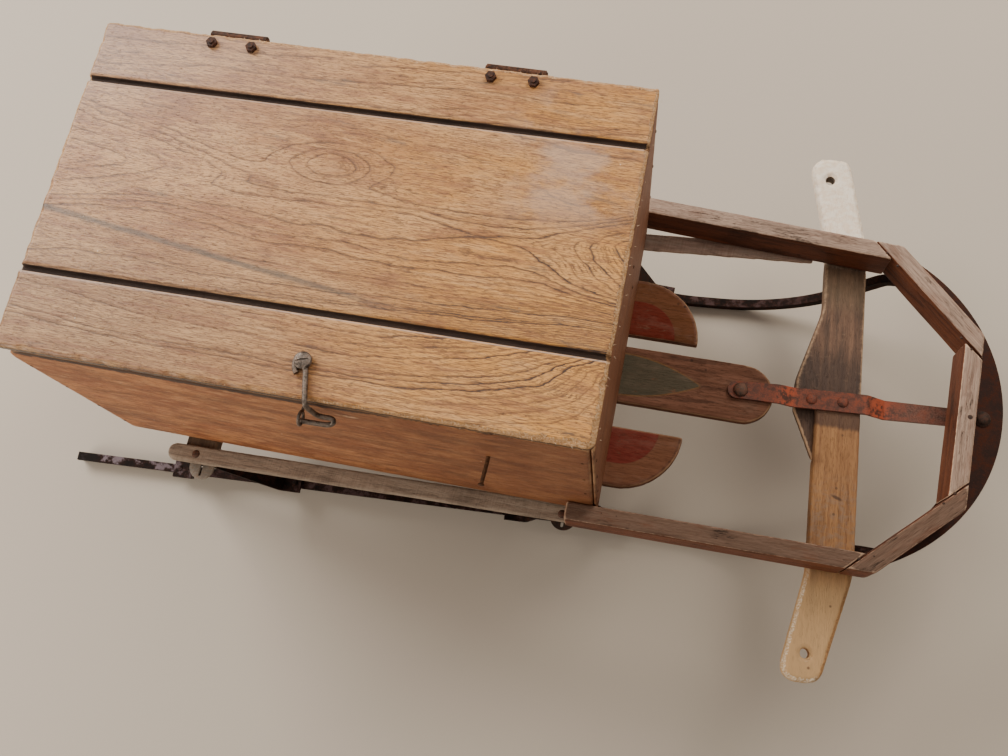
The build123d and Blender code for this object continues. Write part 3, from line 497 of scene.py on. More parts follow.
def bar_wood(name, seed):
    """A finish for half of the steering bar, with its grain and its fine and coarse roughness."""
    f = Finish(name)
    grain = Grain(f, bar_heading, figure=24, ring=6, draw=10, seed=seed, waviness=0.3)
    crumbs = f.soft(1.8, 4, 0.75)
    lumps = f.soft((7, 5, 7), 4, 0.7, bar_heading - 90, (0.3, 0.1, 0))
    return f, grain, crumbs, lumps


def newer_bar_board():
    """Pale new pine, crumbled about its grip."""
    f, grain, crumbs, lumps = bar_wood("bar_new_wood", 2.0)
    grip = f.y.below(-0.20, -0.165)
    greyed = lumps.between(0.45, 0.6) * f.y.inside(-0.17, -0.09, 0.03)
    by_strap = f.y.between(-0.04, -0.018)
    drips = f.soft((5, 40, 9), 4, 0.7, bar_heading - 90)
    knot_x, knot_y = f.x - 0.3655, f.y + 0.0995
    knot = (knot_x * (1 / 6.5)).distance_with((knot_y + knot_x * 0.3) * (1 / 2.2)).below(0.4 * MM, 1.2 * MM)
    eroded = grip * (f.rim * 0.9 + crumbs * 1.2 + lumps * 0.9 - 1.2).between(0.2, 0.42)
    off_hole = f.distance_from(*near_rope_hole).between(7 * MM, 9 * MM)
    near_side = (f.x + f.y * 0.06).below(0.345, 0.353)
    dark_crumbs = blend(crumbs.between(0.4, 0.6), "8a5a2e", "c08c55")
    pale_crumbs = blend(crumbs.between(0.42, 0.58), "cda577", "f3e3c8")
    base = layered(
        grain.coloured("b2804f", "99693f", "79502d", "573822", 0.4),
        (grip * 0.65, "e0b884"),
        (greyed * 0.5, "907a66"),
        ((by_strap + drips * 0.5).between(0.75, 1.1) * 0.8, "4a3226"),
        (knot * 0.85, "4c2f1d"),
        (f.specks(7, 0.06) * 0.7, "5b3b24"),
        ((f.worn + crumbs * 0.5).between(0.72, 0.9) * 0.3, "e2c7a0"),
        (eroded * off_hole * 0.85, blend(near_side, dark_crumbs, pale_crumbs)),
    )
    return f.painted(base, 0.56 + grain.fibres * 0.2, grain.relief() + crumbs * f.worn * 1.5, 0.4 * MM)


def older_bar_board():
    """Old wood gone dark with weather, and white at its grip."""
    f, grain, crumbs, lumps = bar_wood("bar_old_wood", 1.0)
    streaked = f.soft((8, 90, 50), 5, 0.7, bar_heading - 90, (0.2, 1.0, 0))
    dark = (f.y - 0.008).math("ABSOLUTE").below(0.008, 0.1)
    grip = (f.y + crumbs * 0.012).between(0.158, 0.172)
    chips = (f.worn + crumbs * 0.9 + lumps * 0.8).between(1.45, 1.6)
    # The walls of the rope hole painted dark: painted shade inside the hole.
    hole_painted_shade = f.distance_from(*far_rope_hole).below(5.2 * MM, 5.8 * MM) * f.facing[2].below(0.4, 0.8)
    base = layered(
        grain.coloured("805d44", "684a36", "4a3427", "2c1e16", 0.6),
        ((streaked * 0.8 + dark * 0.45).between(0.5, 0.8) * 0.7, "36251c"),
        (f.y.inside(0.11, 0.15, 0.02) * 0.35, "8c7658"),
        ((f.worn + lumps * 0.9).between(0.5, 1.1) * 0.75, "d6b08a"),
        (grip, blend(lumps.between(0.42, 0.6), "ffefdb", "f6dfc3")),
        (grip * chips * 0.7, "b98c66"),
        (hole_painted_shade * 0.85, "4a3626"),
        (grip * f.specks(6, 0.04) * 0.6, "b47a52"),
    )
    return f.painted(base, 0.6 + crumbs * 0.14, grain.relief() + crumbs * (grip + f.worn), 0.4 * MM)


def splinter_board():
    """Fresh pale wood, where the lid is splintered."""
    f = Finish("splinter_wood")
    shade = f.soft(3, 2)
    return f.painted(blend(shade.between(0.3, 0.7), "cdb492", "e2d0b4"), 0.7 + shade * 0.1, shade, 0.1 * MM)


# Paint on the slats


def pointed_panel(f):
    """A faded green panel that ends in a point, edged in ochre."""
    low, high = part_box("centre_slat")
    tip_x, taper, half_width = 0.213, 0.085, 0.0225
    from_tip = (tip_x - f.x) * (1 / taper)
    along = from_tip.math("MAXIMUM", 0.0).math("MINIMUM", 1.0)
    half = (1 - (1 - along) * (1 - along)) * half_width
    reach = half - (f.y - (low.y + high.y) / 2).math("ABSOLUTE")
    edge = reach.between(-2.2 * MM, -1.2 * MM) * from_tip.between(-0.02, 0.02)
    panel = reach.between(-0.4 * MM, 0.6 * MM) * from_tip.between(0.0, 0.03)
    return [(edge, "8a6a3c", 0.35), (panel, "4b4b3e", 0.8)]


def quarter_round(node, inner_side, centre_paint, rim_paint):
    """A coloured quarter disc inside a border. The inner side of its slat is 0 for low y, 1 for high."""
    def decoration(f):
        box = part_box(node)
        across = (f.y - box[inner_side].y).math("ABSOLUTE")
        ahead = (f.x - (box[1].x - 65 * MM)).math("MAXIMUM", 0.0)
        radius = across.distance_with(ahead)
        rim = radius.inside(40 * MM, 61 * MM, 0.6 * MM)
        centre = radius.below(39 * MM, 40.5 * MM)
        return [(rim, rim_paint, 0.55), (centre, centre_paint, 0.85)]

    return decoration


# Steel


def steel(name, colours, roughness, metallic, relief, blotch, seed, extra=None, shine=0.4):
    """Old steel from a dark and a middle colour to two rust colours, pitted where it rusts."""
    f = Finish(name)
    blotches = f.soft(blotch, 5, 0.68, shift=(seed, seed * 2, 0))
    fine = f.soft(1.6, 4, 0.7, shift=(seed, 0, 0))
    dark, middle, rust, bright = colours
    rusty = (blotches * 0.6 + fine * 0.5).between(0.5, 0.68)
    base = layered(
        blend(blotches.between(0.35, 0.6), dark, middle),
        (rusty, rust),
        (fine.between(0.6, 0.78) * 0.6, bright),
    )
    if extra:
        base = extra(f, base, blotches, fine)
    rough = roughness + rusty * 0.25 + fine * 0.1
    clean = metallic * (1 - rusty * 0.8)
    height = fine * 0.8 + blotches * 0.4
    return f.painted(base, rough, height, relief * MM, specular_ior_level=shine, metallic=clean)


def strap_patches(f, base, blotches, fine):
    """Orange-red patches behind and ahead of the bar, partly bare steel and partly painted light on its bent
    facets, a small hole painted dark, and greyer steel towards the hoop.
    """
    # The patches where the strap bends: partly the bare steel's orange-red and partly painted light on the
    # bent facets.
    behind, ahead = f.x.inside(0.296, 0.312, 0.012), f.x.inside(0.388, 0.408, 0.012)
    # A small hole in the strap painted near-black: painted shade where the hole would be.
    small_hole = (0.2611, -0.0063)
    return layered(
        base,
        ((behind + ahead) * blotches.between(0.42, 0.56) * 0.8, "c05a38"),
        (f.distance_from(*small_hole).below(1.4 * MM, 2.0 * MM), "120b08"),
        (f.x.between(0.40, 0.44) * fine.between(0.35, 0.6) * 0.5, "7a6053"),
    )


def tail_tip(f, base, blotches, fine):
    """Blackened steel at the runners' tails, and dust along their tops."""
    dusty = f.facing[2].between(0.6, 0.95) * (0.15 + f.x.below(-0.44, -0.33) * 0.6)
    return layered(
        base,
        (dusty * blotches.between(0.5, 0.62), "85777c"),
        (f.x.below(-0.502, -0.492) * 0.9, "191310"),
    )


# Shaping


def values_of(items, field, width, kind=np.float32):
    """A field of a mesh's points or edges, as rows."""
    flat = np.empty(len(items) * width, kind)
    items.foreach_get(field, flat)
    return flat.reshape(-1, width)


def points_of(mesh):
    return values_of(mesh.vertices, "co", 3).astype(float)


def bumps(points, size, seed):
    """Soft random values from -1 to 1 at points, that change over about the given size."""
    shift = Vector((seed * 7.3, seed * 3.9, seed * 5.1))
    return np.array([noise.noise(Vector(point) / size + shift) for point in points])


def soft_shares(points, size, seed):
    """Soft random shares from 0 to 1 at points."""
    return 0.5 + 0.5 * bumps(points, size, seed)


def limited(values):
    return np.clip(values, 0, 1)


def smoothed(points, edges, rounds):
    """Each point drawn half-way to its neighbours' middle, a number of times."""
    count = len(points)
    first, second = edges[:, 0], edges[:, 1]
    neighbours = np.bincount(first, minlength=count) + np.bincount(second, minlength=count)
    for _ in range(rounds):
        total = np.empty_like(points)
        for axis in range(3):
            total[:, axis] = np.bincount(first, points[second, axis], count)
            total[:, axis] += np.bincount(second, points[first, axis], count)
        points = (points + total / neighbours[:, None]) / 2
    return points


def long_heading(points):
    """The heading along which a board's outline in plan is narrowest across."""
    def width(turn):
        across = points[:, 1] * cos(turn) - points[:, 0] * sin(turn)
        return across.max() - across.min()

    return min((radians(step / 4) for step in range(-360, 360)), key=width)


def plain_mesh(piece):
    """The mesh that a helper piece's modifiers or curve make. The helper is taken away."""
    graph = bpy.context.evaluated_depsgraph_get()
    mesh = bpy.data.meshes.new_from_object(piece.evaluated_get(graph))
    bpy.data.objects.remove(piece)
    return mesh


def mesh_from(name, points, faces, edges=()):
    mesh = bpy.data.meshes.new(name)
    mesh.from_pydata(points, edges, faces)
    mesh.update()
    return mesh


def add_values(mesh, name, values):
    layer = mesh.attributes.new(name, "FLOAT", "POINT")
    layer.data.foreach_set("value", np.asarray(values, np.float32))


def finished(name, mesh, material, body, stands_for=(), smooth=True):
    """A finished piece that rides on a body, and stands for CAD nodes."""
    piece = placed(name, mesh)
    mesh.materials.clear()
    mesh.materials.append(material)
    if smooth:
        mesh.shade_smooth()
    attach(piece, body)
    if stands_for:
        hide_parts(*stands_for)


def mended_copy(node):
    """A copy of a CAD node's mesh with its loose triangles joined."""
    mesh = nodes[node].data.copy()
    work = bmesh.new()
    work.from_mesh(mesh)
    bmesh.ops.remove_doubles(work, verts=work.verts, dist=1e-6)
    work.to_mesh(mesh)
    work.free()
    return mesh


def weathered(node, material, body, slot, cell, wear, dents, seed, open_ends=(0, 0), frayed=None):
    """A wooden piece in place of its CAD node, with its edges worn round and its faces a little uneven.

    Sizes are in millimetres. The open ends are how far each end of the board stands back. A frayed
    board loses more of its edges from that place on y outwards.
    """
    mesh = mended_copy(node)
    heading = long_heading(points_of(mesh))
    mesh.transform(Matrix.Rotation(-heading, 4, "Z"))
    rough = placed(node + "_rough", mesh)
    remesh = rough.modifiers.new("cells", "REMESH")
    remesh.mode = "VOXEL"
    remesh.voxel_size = cell * MM
    board = plain_mesh(rough)

    points = points_of(board)
    normals = values_of(board.vertices, "normal", 3).astype(float)
    edges = values_of(board.edges, "vertices", 2, np.int32)
    end_start, end_reach = 34 * MM, 30 * MM
    for end, gap in zip((-1, 1), open_ends):
        along = points[:, 0] * end
        near_end = limited((along - along.max() + end_start) / end_reach)
        points[:, 0] -= end * gap * MM * near_end
    blurred = smoothed(points, edges, 5)
    edge_share = limited(((points - blurred) * normals).sum(1) / (0.42 * cell * MM))
    worn = limited(edge_share * 1.25 - 0.12)
    softened = smoothed(points, edges, 2)
    hollow = soft_shares(softened / np.array([9, 1, 1]), 3.5 * MM, seed)
    uneven = soft_shares(softened / np.array([4, 1, 1]), 14 * MM, seed + 1)
    inward = wear * MM * worn * hollow**2 + dents * MM * uneven
    broad_blur = smoothed(blurred, edges, 16)
    rim = limited(((points - broad_blur) * normals).sum(1) / (0.5 * MM) - 0.4)
    if frayed:
        y = points[:, 0] * sin(heading) + points[:, 1] * cos(heading)
        beyond = np.clip(y / frayed - 1, 0, 0.1) * 10
        bites = soft_shares(softened, 5 * MM, seed + 4)
        inward += beyond * MM * rim * (2.6 * bites**2 + 0.9 * hollow)
    worn_points = softened - normals * inward[:, None]
    board.vertices.foreach_set("co", worn_points.astype(np.float32).ravel())
    board.update()
    add_values(board, "worn", worn)
    add_values(board, "rim", rim)
    board.transform(Matrix.Rotation(heading, 4, "Z"))
    finished(node + "_worn", board, material, body, [node])


# Lid


def fine_steps(low, high):
    """Places from low to high, closer together near each end."""
    step, fine, margin = 3 * MM, 0.8 * MM, 8 * MM
    ends = np.arange(0, margin, fine)
    middle = np.linspace(low + margin, high - margin, int((high - low - 2 * margin) / step))
    return np.concatenate([low + ends, middle, high - ends[::-1]])


def near_place(values, middle, reach):
    """1 at the middle and falling to 0 over about the reach, as a soft bell."""
    return np.exp(-(((values - middle) / reach) ** 2))


def growth_lines(x, y):
    """Numbers of the growth lines at places in millimetres.

    The middle board has an oval figure, a loop behind it and a flame that opens to the front, and
    lines sway along the outer two.
    """
    oval_x, oval_y, loop_x, loop_y, flame_x, flame_y, merging = -138, 51, -250, 30, 62, 11, 6
    places = np.stack([x, y * 2.2, np.zeros_like(x)], -1).reshape(-1, 3)
    swell = bumps(places, 90, 2).reshape(x.shape) * 5 + bumps(places, 24, 5).reshape(x.shape) * 1.2
    lifted = y + 36 * np.tanh((x + 391) / 250) * near_place(y, -45, 40)
    oval = np.sqrt((lifted - oval_y) ** 2 + (30 * np.tanh((x - oval_x) * 0.5 / 30)) ** 2 + 4)
    loop = np.sqrt((lifted - loop_y) ** 2 + 30) + 0.25 * (x - loop_x)
    opening = 12 * np.logaddexp(0, (x - flame_x) / 12)
    flame = np.sqrt((lifted - flame_y - 0.1 * opening) ** 2 + 6)
    flame += 4 - 0.34 * opening * near_place(lifted, flame_y, 32)
    middle = -merging * np.log(sum(np.exp(-figure / merging) for figure in (oval, flame, loop)))
    middle = (middle + swell) / (5.4 - 2.0 * limited((x - y + 150) / 300))
    far = 40 + (y - 0.03 * x + swell * 1.3) / 5.5
    rise = np.where(x > -80, 0.0013, 0.0002) * (x + 80) ** 2
    near = 90 + (y - rise * limited((y + 160) / 60) + swell * 0.7) / 4.6
    return np.where(y < grooves[0] / MM, near, np.where(y > grooves[1] / MM, far, middle))


def ragged_edge(along, seed, chips):
    """How far an edge stands in, from small crumbs to a few longer chips."""
    line = np.stack([along, np.zeros_like(along), np.zeros_like(along)], 1)
    crumbs, waves = soft_shares(line, 1.9 * MM, seed), soft_shares(line, 9 * MM, seed + 3)
    chip = limited(bumps(line, 5 * MM, seed + 5) - 0.2) * chips
    return (0.6 * crumbs + 0.3 * waves + chip) * MM


def lid_outline(x, y):
    """The lid's places in plan, with ragged edges, leaning grooves and round corners."""
    reach = 14 * MM
    from_near, from_far = y - lid_low.y, lid_high.y - y
    new_x = x + ragged_edge(y, 1, 1.4) * limited(1 - (x - lid_low.x) / reach)
    new_x -= ragged_edge(y, 2, 2.0) * limited(1 - (lid_high.x - x) / reach)
    new_y = y + ragged_edge(x, 3, 2.6) * limited(1 - from_near / reach)
    new_y -= ragged_edge(x, 4, 1.6) * limited(1 - from_far / reach)
    new_y += groove_slope * (x - groove_turn) * limited(np.minimum(from_near, from_far) / (40 * MM))

    # Each corner has its place, its ways inwards on x and y, and its radius in millimetres.
    front_near, front_far = (lid_high.x, lid_low.y, -1, 1, 8), (lid_high.x, lid_high.y, -1, -1, 3)
    rear_near, rear_far = (lid_low.x, lid_low.y, 1, 1, 4), (lid_low.x, lid_high.y, 1, -1, 3)
    for corner_x, corner_y, inward_x, inward_y, radius in (front_near, front_far, rear_near, rear_far):
        centre_x, centre_y = corner_x + inward_x * radius * MM, corner_y + inward_y * radius * MM
        across, along = (centre_x - new_x) * inward_x, (centre_y - new_y) * inward_y
        inside = (across > 0) & (along > 0)
        length = np.maximum(np.hypot(across, along), 1e-9)
        shrink = np.where(inside, np.maximum(across, along) / length, 1)
        new_x = np.where(inside, centre_x - inward_x * across * shrink, new_x)
        new_y = np.where(inside, centre_y - inward_y * along * shrink, new_y)
    return new_x, new_y


def closed_grid(name, upper, lower, rows, columns):
    """A mesh of an upper and a lower grid of points, closed round its edge."""
    count = rows * columns
    faces = []
    for i in range(rows - 1):
        for j in range(columns - 1):
            a = i * columns + j
            faces.append((a, a + columns, a + columns + 1, a + 1))
            faces.append((count + a, count + a + 1, count + a + columns + 1, count + a + columns))
    rim = [i * columns for i in range(rows)]
    rim += [(rows - 1) * columns + j for j in range(1, columns)]
    rim += [i * columns + columns - 1 for i in range(rows - 2, -1, -1)]
    rim += [j for j in range(columns - 2, 0, -1)]
    for first, second in zip(rim, rim[1:] + rim[:1]):
        faces.append((count + first, count + second, second, first))
    return mesh_from(name, np.concatenate([upper, lower]).tolist(), faces)


def worn_lid():
    """The lid's board, with its two grooves and its chipped and crumbled edges."""
    xs, ys = fine_steps(lid_low.x, lid_high.x), fine_steps(lid_low.y, lid_high.y)
    groove_depth, groove_half = 3.2 * MM, 2.9 * MM
    for groove in grooves:
        ys = ys[np.abs(ys - groove) > 3.6 * MM]
        ys = np.concatenate([ys, groove + np.array([-3.2, -2.7, -2.3, 0, 2.3, 2.7, 3.2]) * MM])
    ys.sort()
    x_grid, y_grid = np.meshgrid(xs, ys, indexing="ij")
    growth = growth_lines(x_grid / MM, y_grid / MM)
    steps = np.gradient(growth, xs / MM, ys / MM)
    slope = np.clip(np.hypot(*steps), 0.05, 0.45).ravel()
    x, y = x_grid.ravel(), y_grid.ravel()
    new_x, new_y = lid_outline(x, y)

    places = np.stack([x, y, np.zeros_like(x)], 1)
    depths = [groove_depth * limited((groove_half - np.abs(y - groove)) / (0.5 * MM)) for groove in grooves]
    from_front, from_near, from_far = lid_high.x - x, y - lid_low.y, lid_high.y - y
    edge_distance = np.minimum.reduce([x - lid_low.x, from_front, from_near, from_far])
    rough_width = (2.4 + 3.0 * limited(bumps(places, 11 * MM, 8) + 0.2)) * MM
    rough_width += 2.0 * MM * near_place(x, lid_high.x, 70 * MM) * near_place(y, lid_low.y, 60 * MM)
    drop = limited(rough_width - edge_distance) * (0.35 + 0.5 * soft_shares(places, 2.2 * MM, 9))
    top = lid_high.z - np.maximum(*depths) - drop - 0.12 * MM * soft_shares(places, 60 * MM, 11)
    worn = limited(1.15 - edge_distance / (rough_width * 1.25))
    along_near = (from_near < from_front) & (from_near < from_far)
    worn *= np.where(along_near, 0.3 + 0.7 * near_place(x, 0.16, 0.2), 1)

    upper = np.stack([new_x, new_y, top], 1)
    lower = np.stack([new_x, new_y, np.full_like(x, lid_low.z)], 1)
    mesh = closed_grid("lid_board", upper, lower, len(xs), len(ys))
    for name, values in (("worn", worn), ("growth", growth.ravel()), ("slope", slope)):
        add_values(mesh, name, np.concatenate([values, values]))
    return mesh


# Turned and bent steel


def moved(place, *shift):
    """A place moved by a shift in millimetres."""
    return tuple(part + step * MM for part, step in zip(place, shift))


def turned(profile, centre, axis=UP, around=28):
    """A closed round mesh from radii and heights along an axis, in millimetres."""
    turn = Vector(axis).to_track_quat("Z", "X").to_matrix()
    points, faces = [], []
    for radius, height in profile:
        for step in range(around):
            angle = 2 * pi * step / around
            corner = Vector((radius * cos(angle), radius * sin(angle), height)) * MM
            points.append(Vector(centre) + turn @ corner)
    for ring in range(len(profile) - 1):
        for step in range(around):
            a, b = ring * around + step, ring * around + (step + 1) % around
            faces.append((a, b, b + around, a + around))
    last = (len(profile) - 1) * around
    faces += [tuple(range(around))[::-1], tuple(range(last, last + around))]
    return mesh_from("turned", points, faces)


def dome(radius, height, base=0.0):
    """Radii and heights of a low round head."""
    angles = [pi / 2 * step / 7 for step in range(7)]
    return [(radius * cos(a), base + height * sin(a)) for a in angles] + [(0.05, base + height)]


def joined(name, meshes):
    """One mesh from several."""
    work = bmesh.new()
    for mesh in meshes:
        work.from_mesh(mesh)
    whole = bpy.data.meshes.new(name)
    work.to_mesh(whole)
    work.free()
    return whole


def wire(name, points, radius):
    """A round wire along a smooth line through control points, its radius in millimetres."""
    curve = bpy.data.curves.new(name, "CURVE")
    curve.dimensions = "3D"
    curve.bevel_depth = radius * MM
    curve.bevel_resolution = 5
    curve.use_fill_caps = True
    curve.resolution_u = 10
    line = curve.splines.new("NURBS")
    line.points.add(len(points) - 1)
    for control, place in zip(line.points, points):
        control.co = (*place, 1)
    line.order_u = 3
    line.use_endpoint_u = True
    return plain_mesh(placed(name, curve))


# Repeated heads and splinters, by Geometry Nodes


class Recipe:
    """A Geometry Nodes tree with a geometry input, named number inputs and a material input."""

    def __init__(self, name, sizes):
        self.tree = bpy.data.node_groups.new(name, "GeometryNodeTree")
        sockets = [("Geometry", "Geometry"), *((size, "Float") for size in sizes), ("Material", "Material")]
        for label, kind in sockets:
            self.tree.interface.new_socket(label, in_out="INPUT", socket_type="NodeSocket" + kind)
        self.tree.interface.new_socket("Geometry", in_out="OUTPUT", socket_type="NodeSocketGeometry")
        self.given = self.tree.nodes.new("NodeGroupInput").outputs
        self.result = self.tree.nodes.new("NodeGroupOutput").inputs[0]

    def add(self, kind, inputs, output=0, family="GeometryNode", **settings):
        """Add a node, set its options, feed its inputs with sockets or plain values, and return an output."""
        node = self.tree.nodes.new(family + kind)
        for name, value in settings.items():
            setattr(node, name, value)
        for name, value in inputs.items():
            if isinstance(value, bpy.types.NodeSocket):
                self.tree.links.new(value, node.inputs[name])
            else:
                node.inputs[name].default_value = value
        return node.outputs[output]

    def function(self, kind, inputs, output=0, **settings):
        return self.add(kind, inputs, output, "FunctionNode", **settings)

    def vector(self, x=0.0, y=0.0, z=0.0):
        return self.add("CombineXYZ", {"X": x, "Y": y, "Z": z}, family="ShaderNode")

    def math(self, operation, first, second):
        return self.add("Math", {0: first, 1: second}, family="ShaderNode", operation=operation)

    def held(self, name, kind):
        """The value that each point holds under a name."""
        return self.add("InputNamedAttribute", {"Name": name}, "Attribute", data_type=kind)

    def copies(self, points, shape, rotation, scale):
        """Put a real copy of a shape with the given material on each point, and hand the tree over."""
        inputs = {"Points": points, "Instance": shape, "Rotation": rotation, "Scale": scale}
        real = self.add("RealizeInstances", {"Geometry": self.add("InstanceOnPoints", inputs)})
        last = self.add("SetMaterial", {"Geometry": real, "Material": self.given["Material"]})
        self.tree.links.new(last, self.result)
        return self.tree


def heads_recipe():
    """Domed heads on points, each along its facing, turned by its spin, and slotted if it has a width."""
    recipe = Recipe("heads", ("Radius", "Height", "Slot"))
    radius, height, slot = (recipe.given[name] for name in ("Radius", "Height", "Slot"))
    ball = recipe.add("MeshUVSphere", {"Segments": 18, "Rings": 10, "Radius": 1.0})
    head = recipe.add("Transform", {"Geometry": ball, "Scale": recipe.vector(radius, radius, height)})
    cut_size = recipe.vector(recipe.math("MULTIPLY", radius, 2.6), slot, height)
    block = recipe.add("MeshCube", {"Size": cut_size})
    cutter = recipe.add("Transform", {"Geometry": block, "Translation": recipe.vector(z=height)})
    slotted = recipe.add("MeshBoolean", {"Mesh 1": head, "Mesh 2": cutter}, operation="DIFFERENCE")
    has_slot = recipe.function("Compare", {"A": slot, "B": 0.0}, operation="GREATER_THAN")
    choice = {"Switch": has_slot, "False": head, "True": slotted}
    chosen = recipe.add("Switch", choice, input_type="GEOMETRY")
    facing = recipe.held("facing", "FLOAT_VECTOR")
    upright = recipe.function("AlignRotationToVector", {"Vector": facing}, axis="Z")
    spin = recipe.function("AxisAngleToRotation", {"Axis": UP, "Angle": recipe.held("spin", "FLOAT")})
    turn = recipe.function("RotateRotation", {"Rotation": upright, "Rotate By": spin}, rotation_space="LOCAL")
    return recipe.copies(recipe.given["Geometry"], chosen, turn, recipe.held("size", "FLOAT"))


def splinters_recipe():
    """Thin pointed splinters scattered along an edge and pointing roughly outwards."""
    recipe = Recipe("splinters", ("Count", "Length", "Thickness", "Spread", "Seed", "Turn"))
    count, length, thickness, spread, seed, heading = list(recipe.given)[1:7]
    curve = recipe.add("MeshToCurve", {"Mesh": recipe.given["Geometry"]})
    dots = recipe.add("CurveToPoints", {"Curve": curve, "Count": count}, mode="COUNT")

    def random(low, high, kind="FLOAT_VECTOR", output=0):
        return recipe.function("RandomValue", {"Min": low, "Max": high, "Seed": seed}, output, data_type=kind)

    away = random((-0.004, -0.0012, -0.002), (0.004, 0.0008, 0.0012))
    scattered = recipe.add("SetPosition", {"Geometry": dots, "Offset": away})
    spike = recipe.add("MeshCone", {
        "Vertices": 4, "Side Segments": 2, "Radius Top": 0.05, "Radius Bottom": 1.0, "Depth": 1.0})
    low_turn = recipe.math("ADD", heading, recipe.math("MULTIPLY", spread, -1.0))
    high_turn = recipe.math("ADD", heading, spread)
    turn = random(recipe.vector(1.1, z=low_turn), recipe.vector(2.0, z=high_turn))
    share = random(0.25, 1.0, "FLOAT", 1)
    size = recipe.vector(thickness, thickness, recipe.math("MULTIPLY", share, length))
    return recipe.copies(scattered, spike, turn, size)


def grown(base, tree, values):
    """The plain mesh that a tree makes from a base mesh and its named inputs."""
    holder = placed("holder", base)
    modifier = holder.modifiers.new("grown", "NODES")
    modifier.node_group = tree
    for item in tree.interface.items_tree:
        if item.in_out == "INPUT" and item.name in values:
            modifier[item.identifier] = values[item.name]
    return plain_mesh(holder)


def spot(place, facing=UP, spin=0, size=1.0):
    """A place for a head, with the way it faces, its spin in degrees and its size."""
    return place, facing, spin, size


def heads(name, spots, radius, height, material, body, slot_width=0.0):
    """Heads at spots, with sizes in millimetres."""
    places, facings, spins, scales = zip(*spots)
    base = mesh_from("spots", places, [])
    layer = base.attributes.new("facing", "FLOAT_VECTOR", "POINT")
    layer.data.foreach_set("vector", np.array(facings, np.float32).ravel())
    add_values(base, "spin", [radians(spin) for spin in spins])
    add_values(base, "size", scales)
    sizes = {"Radius": radius * MM, "Height": height * MM, "Slot": slot_width * MM, "Material": material}
    mesh = grown(base, head_tree, sizes)
    finished(name, mesh, material, body, smooth=slot_width == 0)


head_tree = heads_recipe()
splinter_tree = splinters_recipe()


# Finishes

lid_finish = lid_panelling()
side_finish = box_board("box_side_ply", 0, 1.0, ("c98752", "a9663a", "7d4523", "42240f"), "d9a272")
end_finish = box_board("box_end_ply", 90, 3.0, ("a56b45", "895536", "683f22", "331d10"), "b67d55")
bench_finish = bench_board()
old_bar, new_bar = older_bar_board(), newer_bar_board()
splinter_wood = splinter_board()
# The far (left) rail's tones are paler than the near rail's: painted light against the box's shadow on it.
rail_finishes = {
    "left": rail_board("left_rail_wood", 1.0, ("c0a08d", "a88876", "866a5a", "5a463a")),
    "right": rail_board("right_rail_wood", 2.6, ("a9947f", "947f6c", "756252", "4b3d31")),
}
far_slat_paint = quarter_round("outer_slat_left", 0, "6c1a05", "68390b")
near_slat_paint = quarter_round("outer_slat_right", 1, "7a2a20", "86563a")
slat_finishes = {
    "centre_slat": slat_board("centre_slat_paint", 1.0, pointed_panel),
    "outer_slat_left": slat_board("left_slat_paint", 2.0, far_slat_paint),
    "outer_slat_right": slat_board("right_slat_paint", 3.0, near_slat_paint),
}

# Colours from dark to bright, then roughness, metallic, relief and blotch in millimetres, seed,
# and for some a function for what is special about it, and its shine.
steel_looks = {
    "runner_steel": ("140c09 24150f 40241a 5c3320", 0.62, 0.1, 0.35, 12, 1.0, tail_tip, 0.12),
    "hoop_steel": ("2c150c 3a1c10 4c2514 633722", 0.55, 0.1, 0.3, 16, 2.0, None, 0.2),
    "strap_steel": ("503329 6d4235 8a4832 a8664a", 0.55, 0.35, 0.35, 8, 3.0, strap_patches),
    "plate_steel": ("857a6e a0968a 8a7059 b5aa9b", 0.42, 0.75, 0.25, 7, 4.0),
    "dark_plate_steel": ("2b1f18 3d2b20 53362a 7a5844", 0.6, 0.2, 0.3, 6, 4.5),
    "bolt_steel": ("4a3a31 63493b 6b4230 8a6146", 0.5, 0.5, 0.25, 4, 5.0),
    "hook_steel": ("4f453d 857a70 6f5746 cbbdb0", 0.38, 0.8, 0.2, 4, 6.0),
    "hinge_steel": ("2e1c13 4b2e1e 6b4129 b58a68", 0.55, 0.45, 0.25, 5, 7.0),
    "lid_bolt_rust": ("2a1a13 3d2519 5a3625 8d6145", 0.6, 0.3, 0.3, 4, 9.0),
    "nail_steel": ("4d3424 5f4029 6f4a2c 8b6543", 0.55, 0.4, 0.2, 3, 8.0),
}
steels = {name: steel(name, tones.split(), *rest) for name, (tones, *rest) in steel_looks.items()}

knees = [f"{place}_knee_{side}" for place in ("rear", "front") for side in ("left", "right")]
nodes_by_finish = (
    (steels["runner_steel"], ["runner_left", "runner_right", *knees]),
    (steels["hoop_steel"], ["front_hoop"]),
    (steels["strap_steel"], ["steering_strap"]),
    (steels["plate_steel"], ["rear_bench_plate"]),
    (steels["dark_plate_steel"], ["front_bench_plate"]),
    (steels["hook_steel"], ["screw_eye"]),
    (steels["hinge_steel"], ["hinge_lid_leaves", "hinge_box_leaves", "hinge_pins"]),
    (steels["lid_bolt_rust"], ["lid_bolts"]),
    (end_finish, ["box_floor"]),
)
for finish, named in nodes_by_finish:
    for node in named:
        materials = nodes[node].data.materials
        for index in range(len(materials)):
            materials[index] = finish

# Boards: CAD node, finish, slot, cell, wear and dents in millimetres, and seed

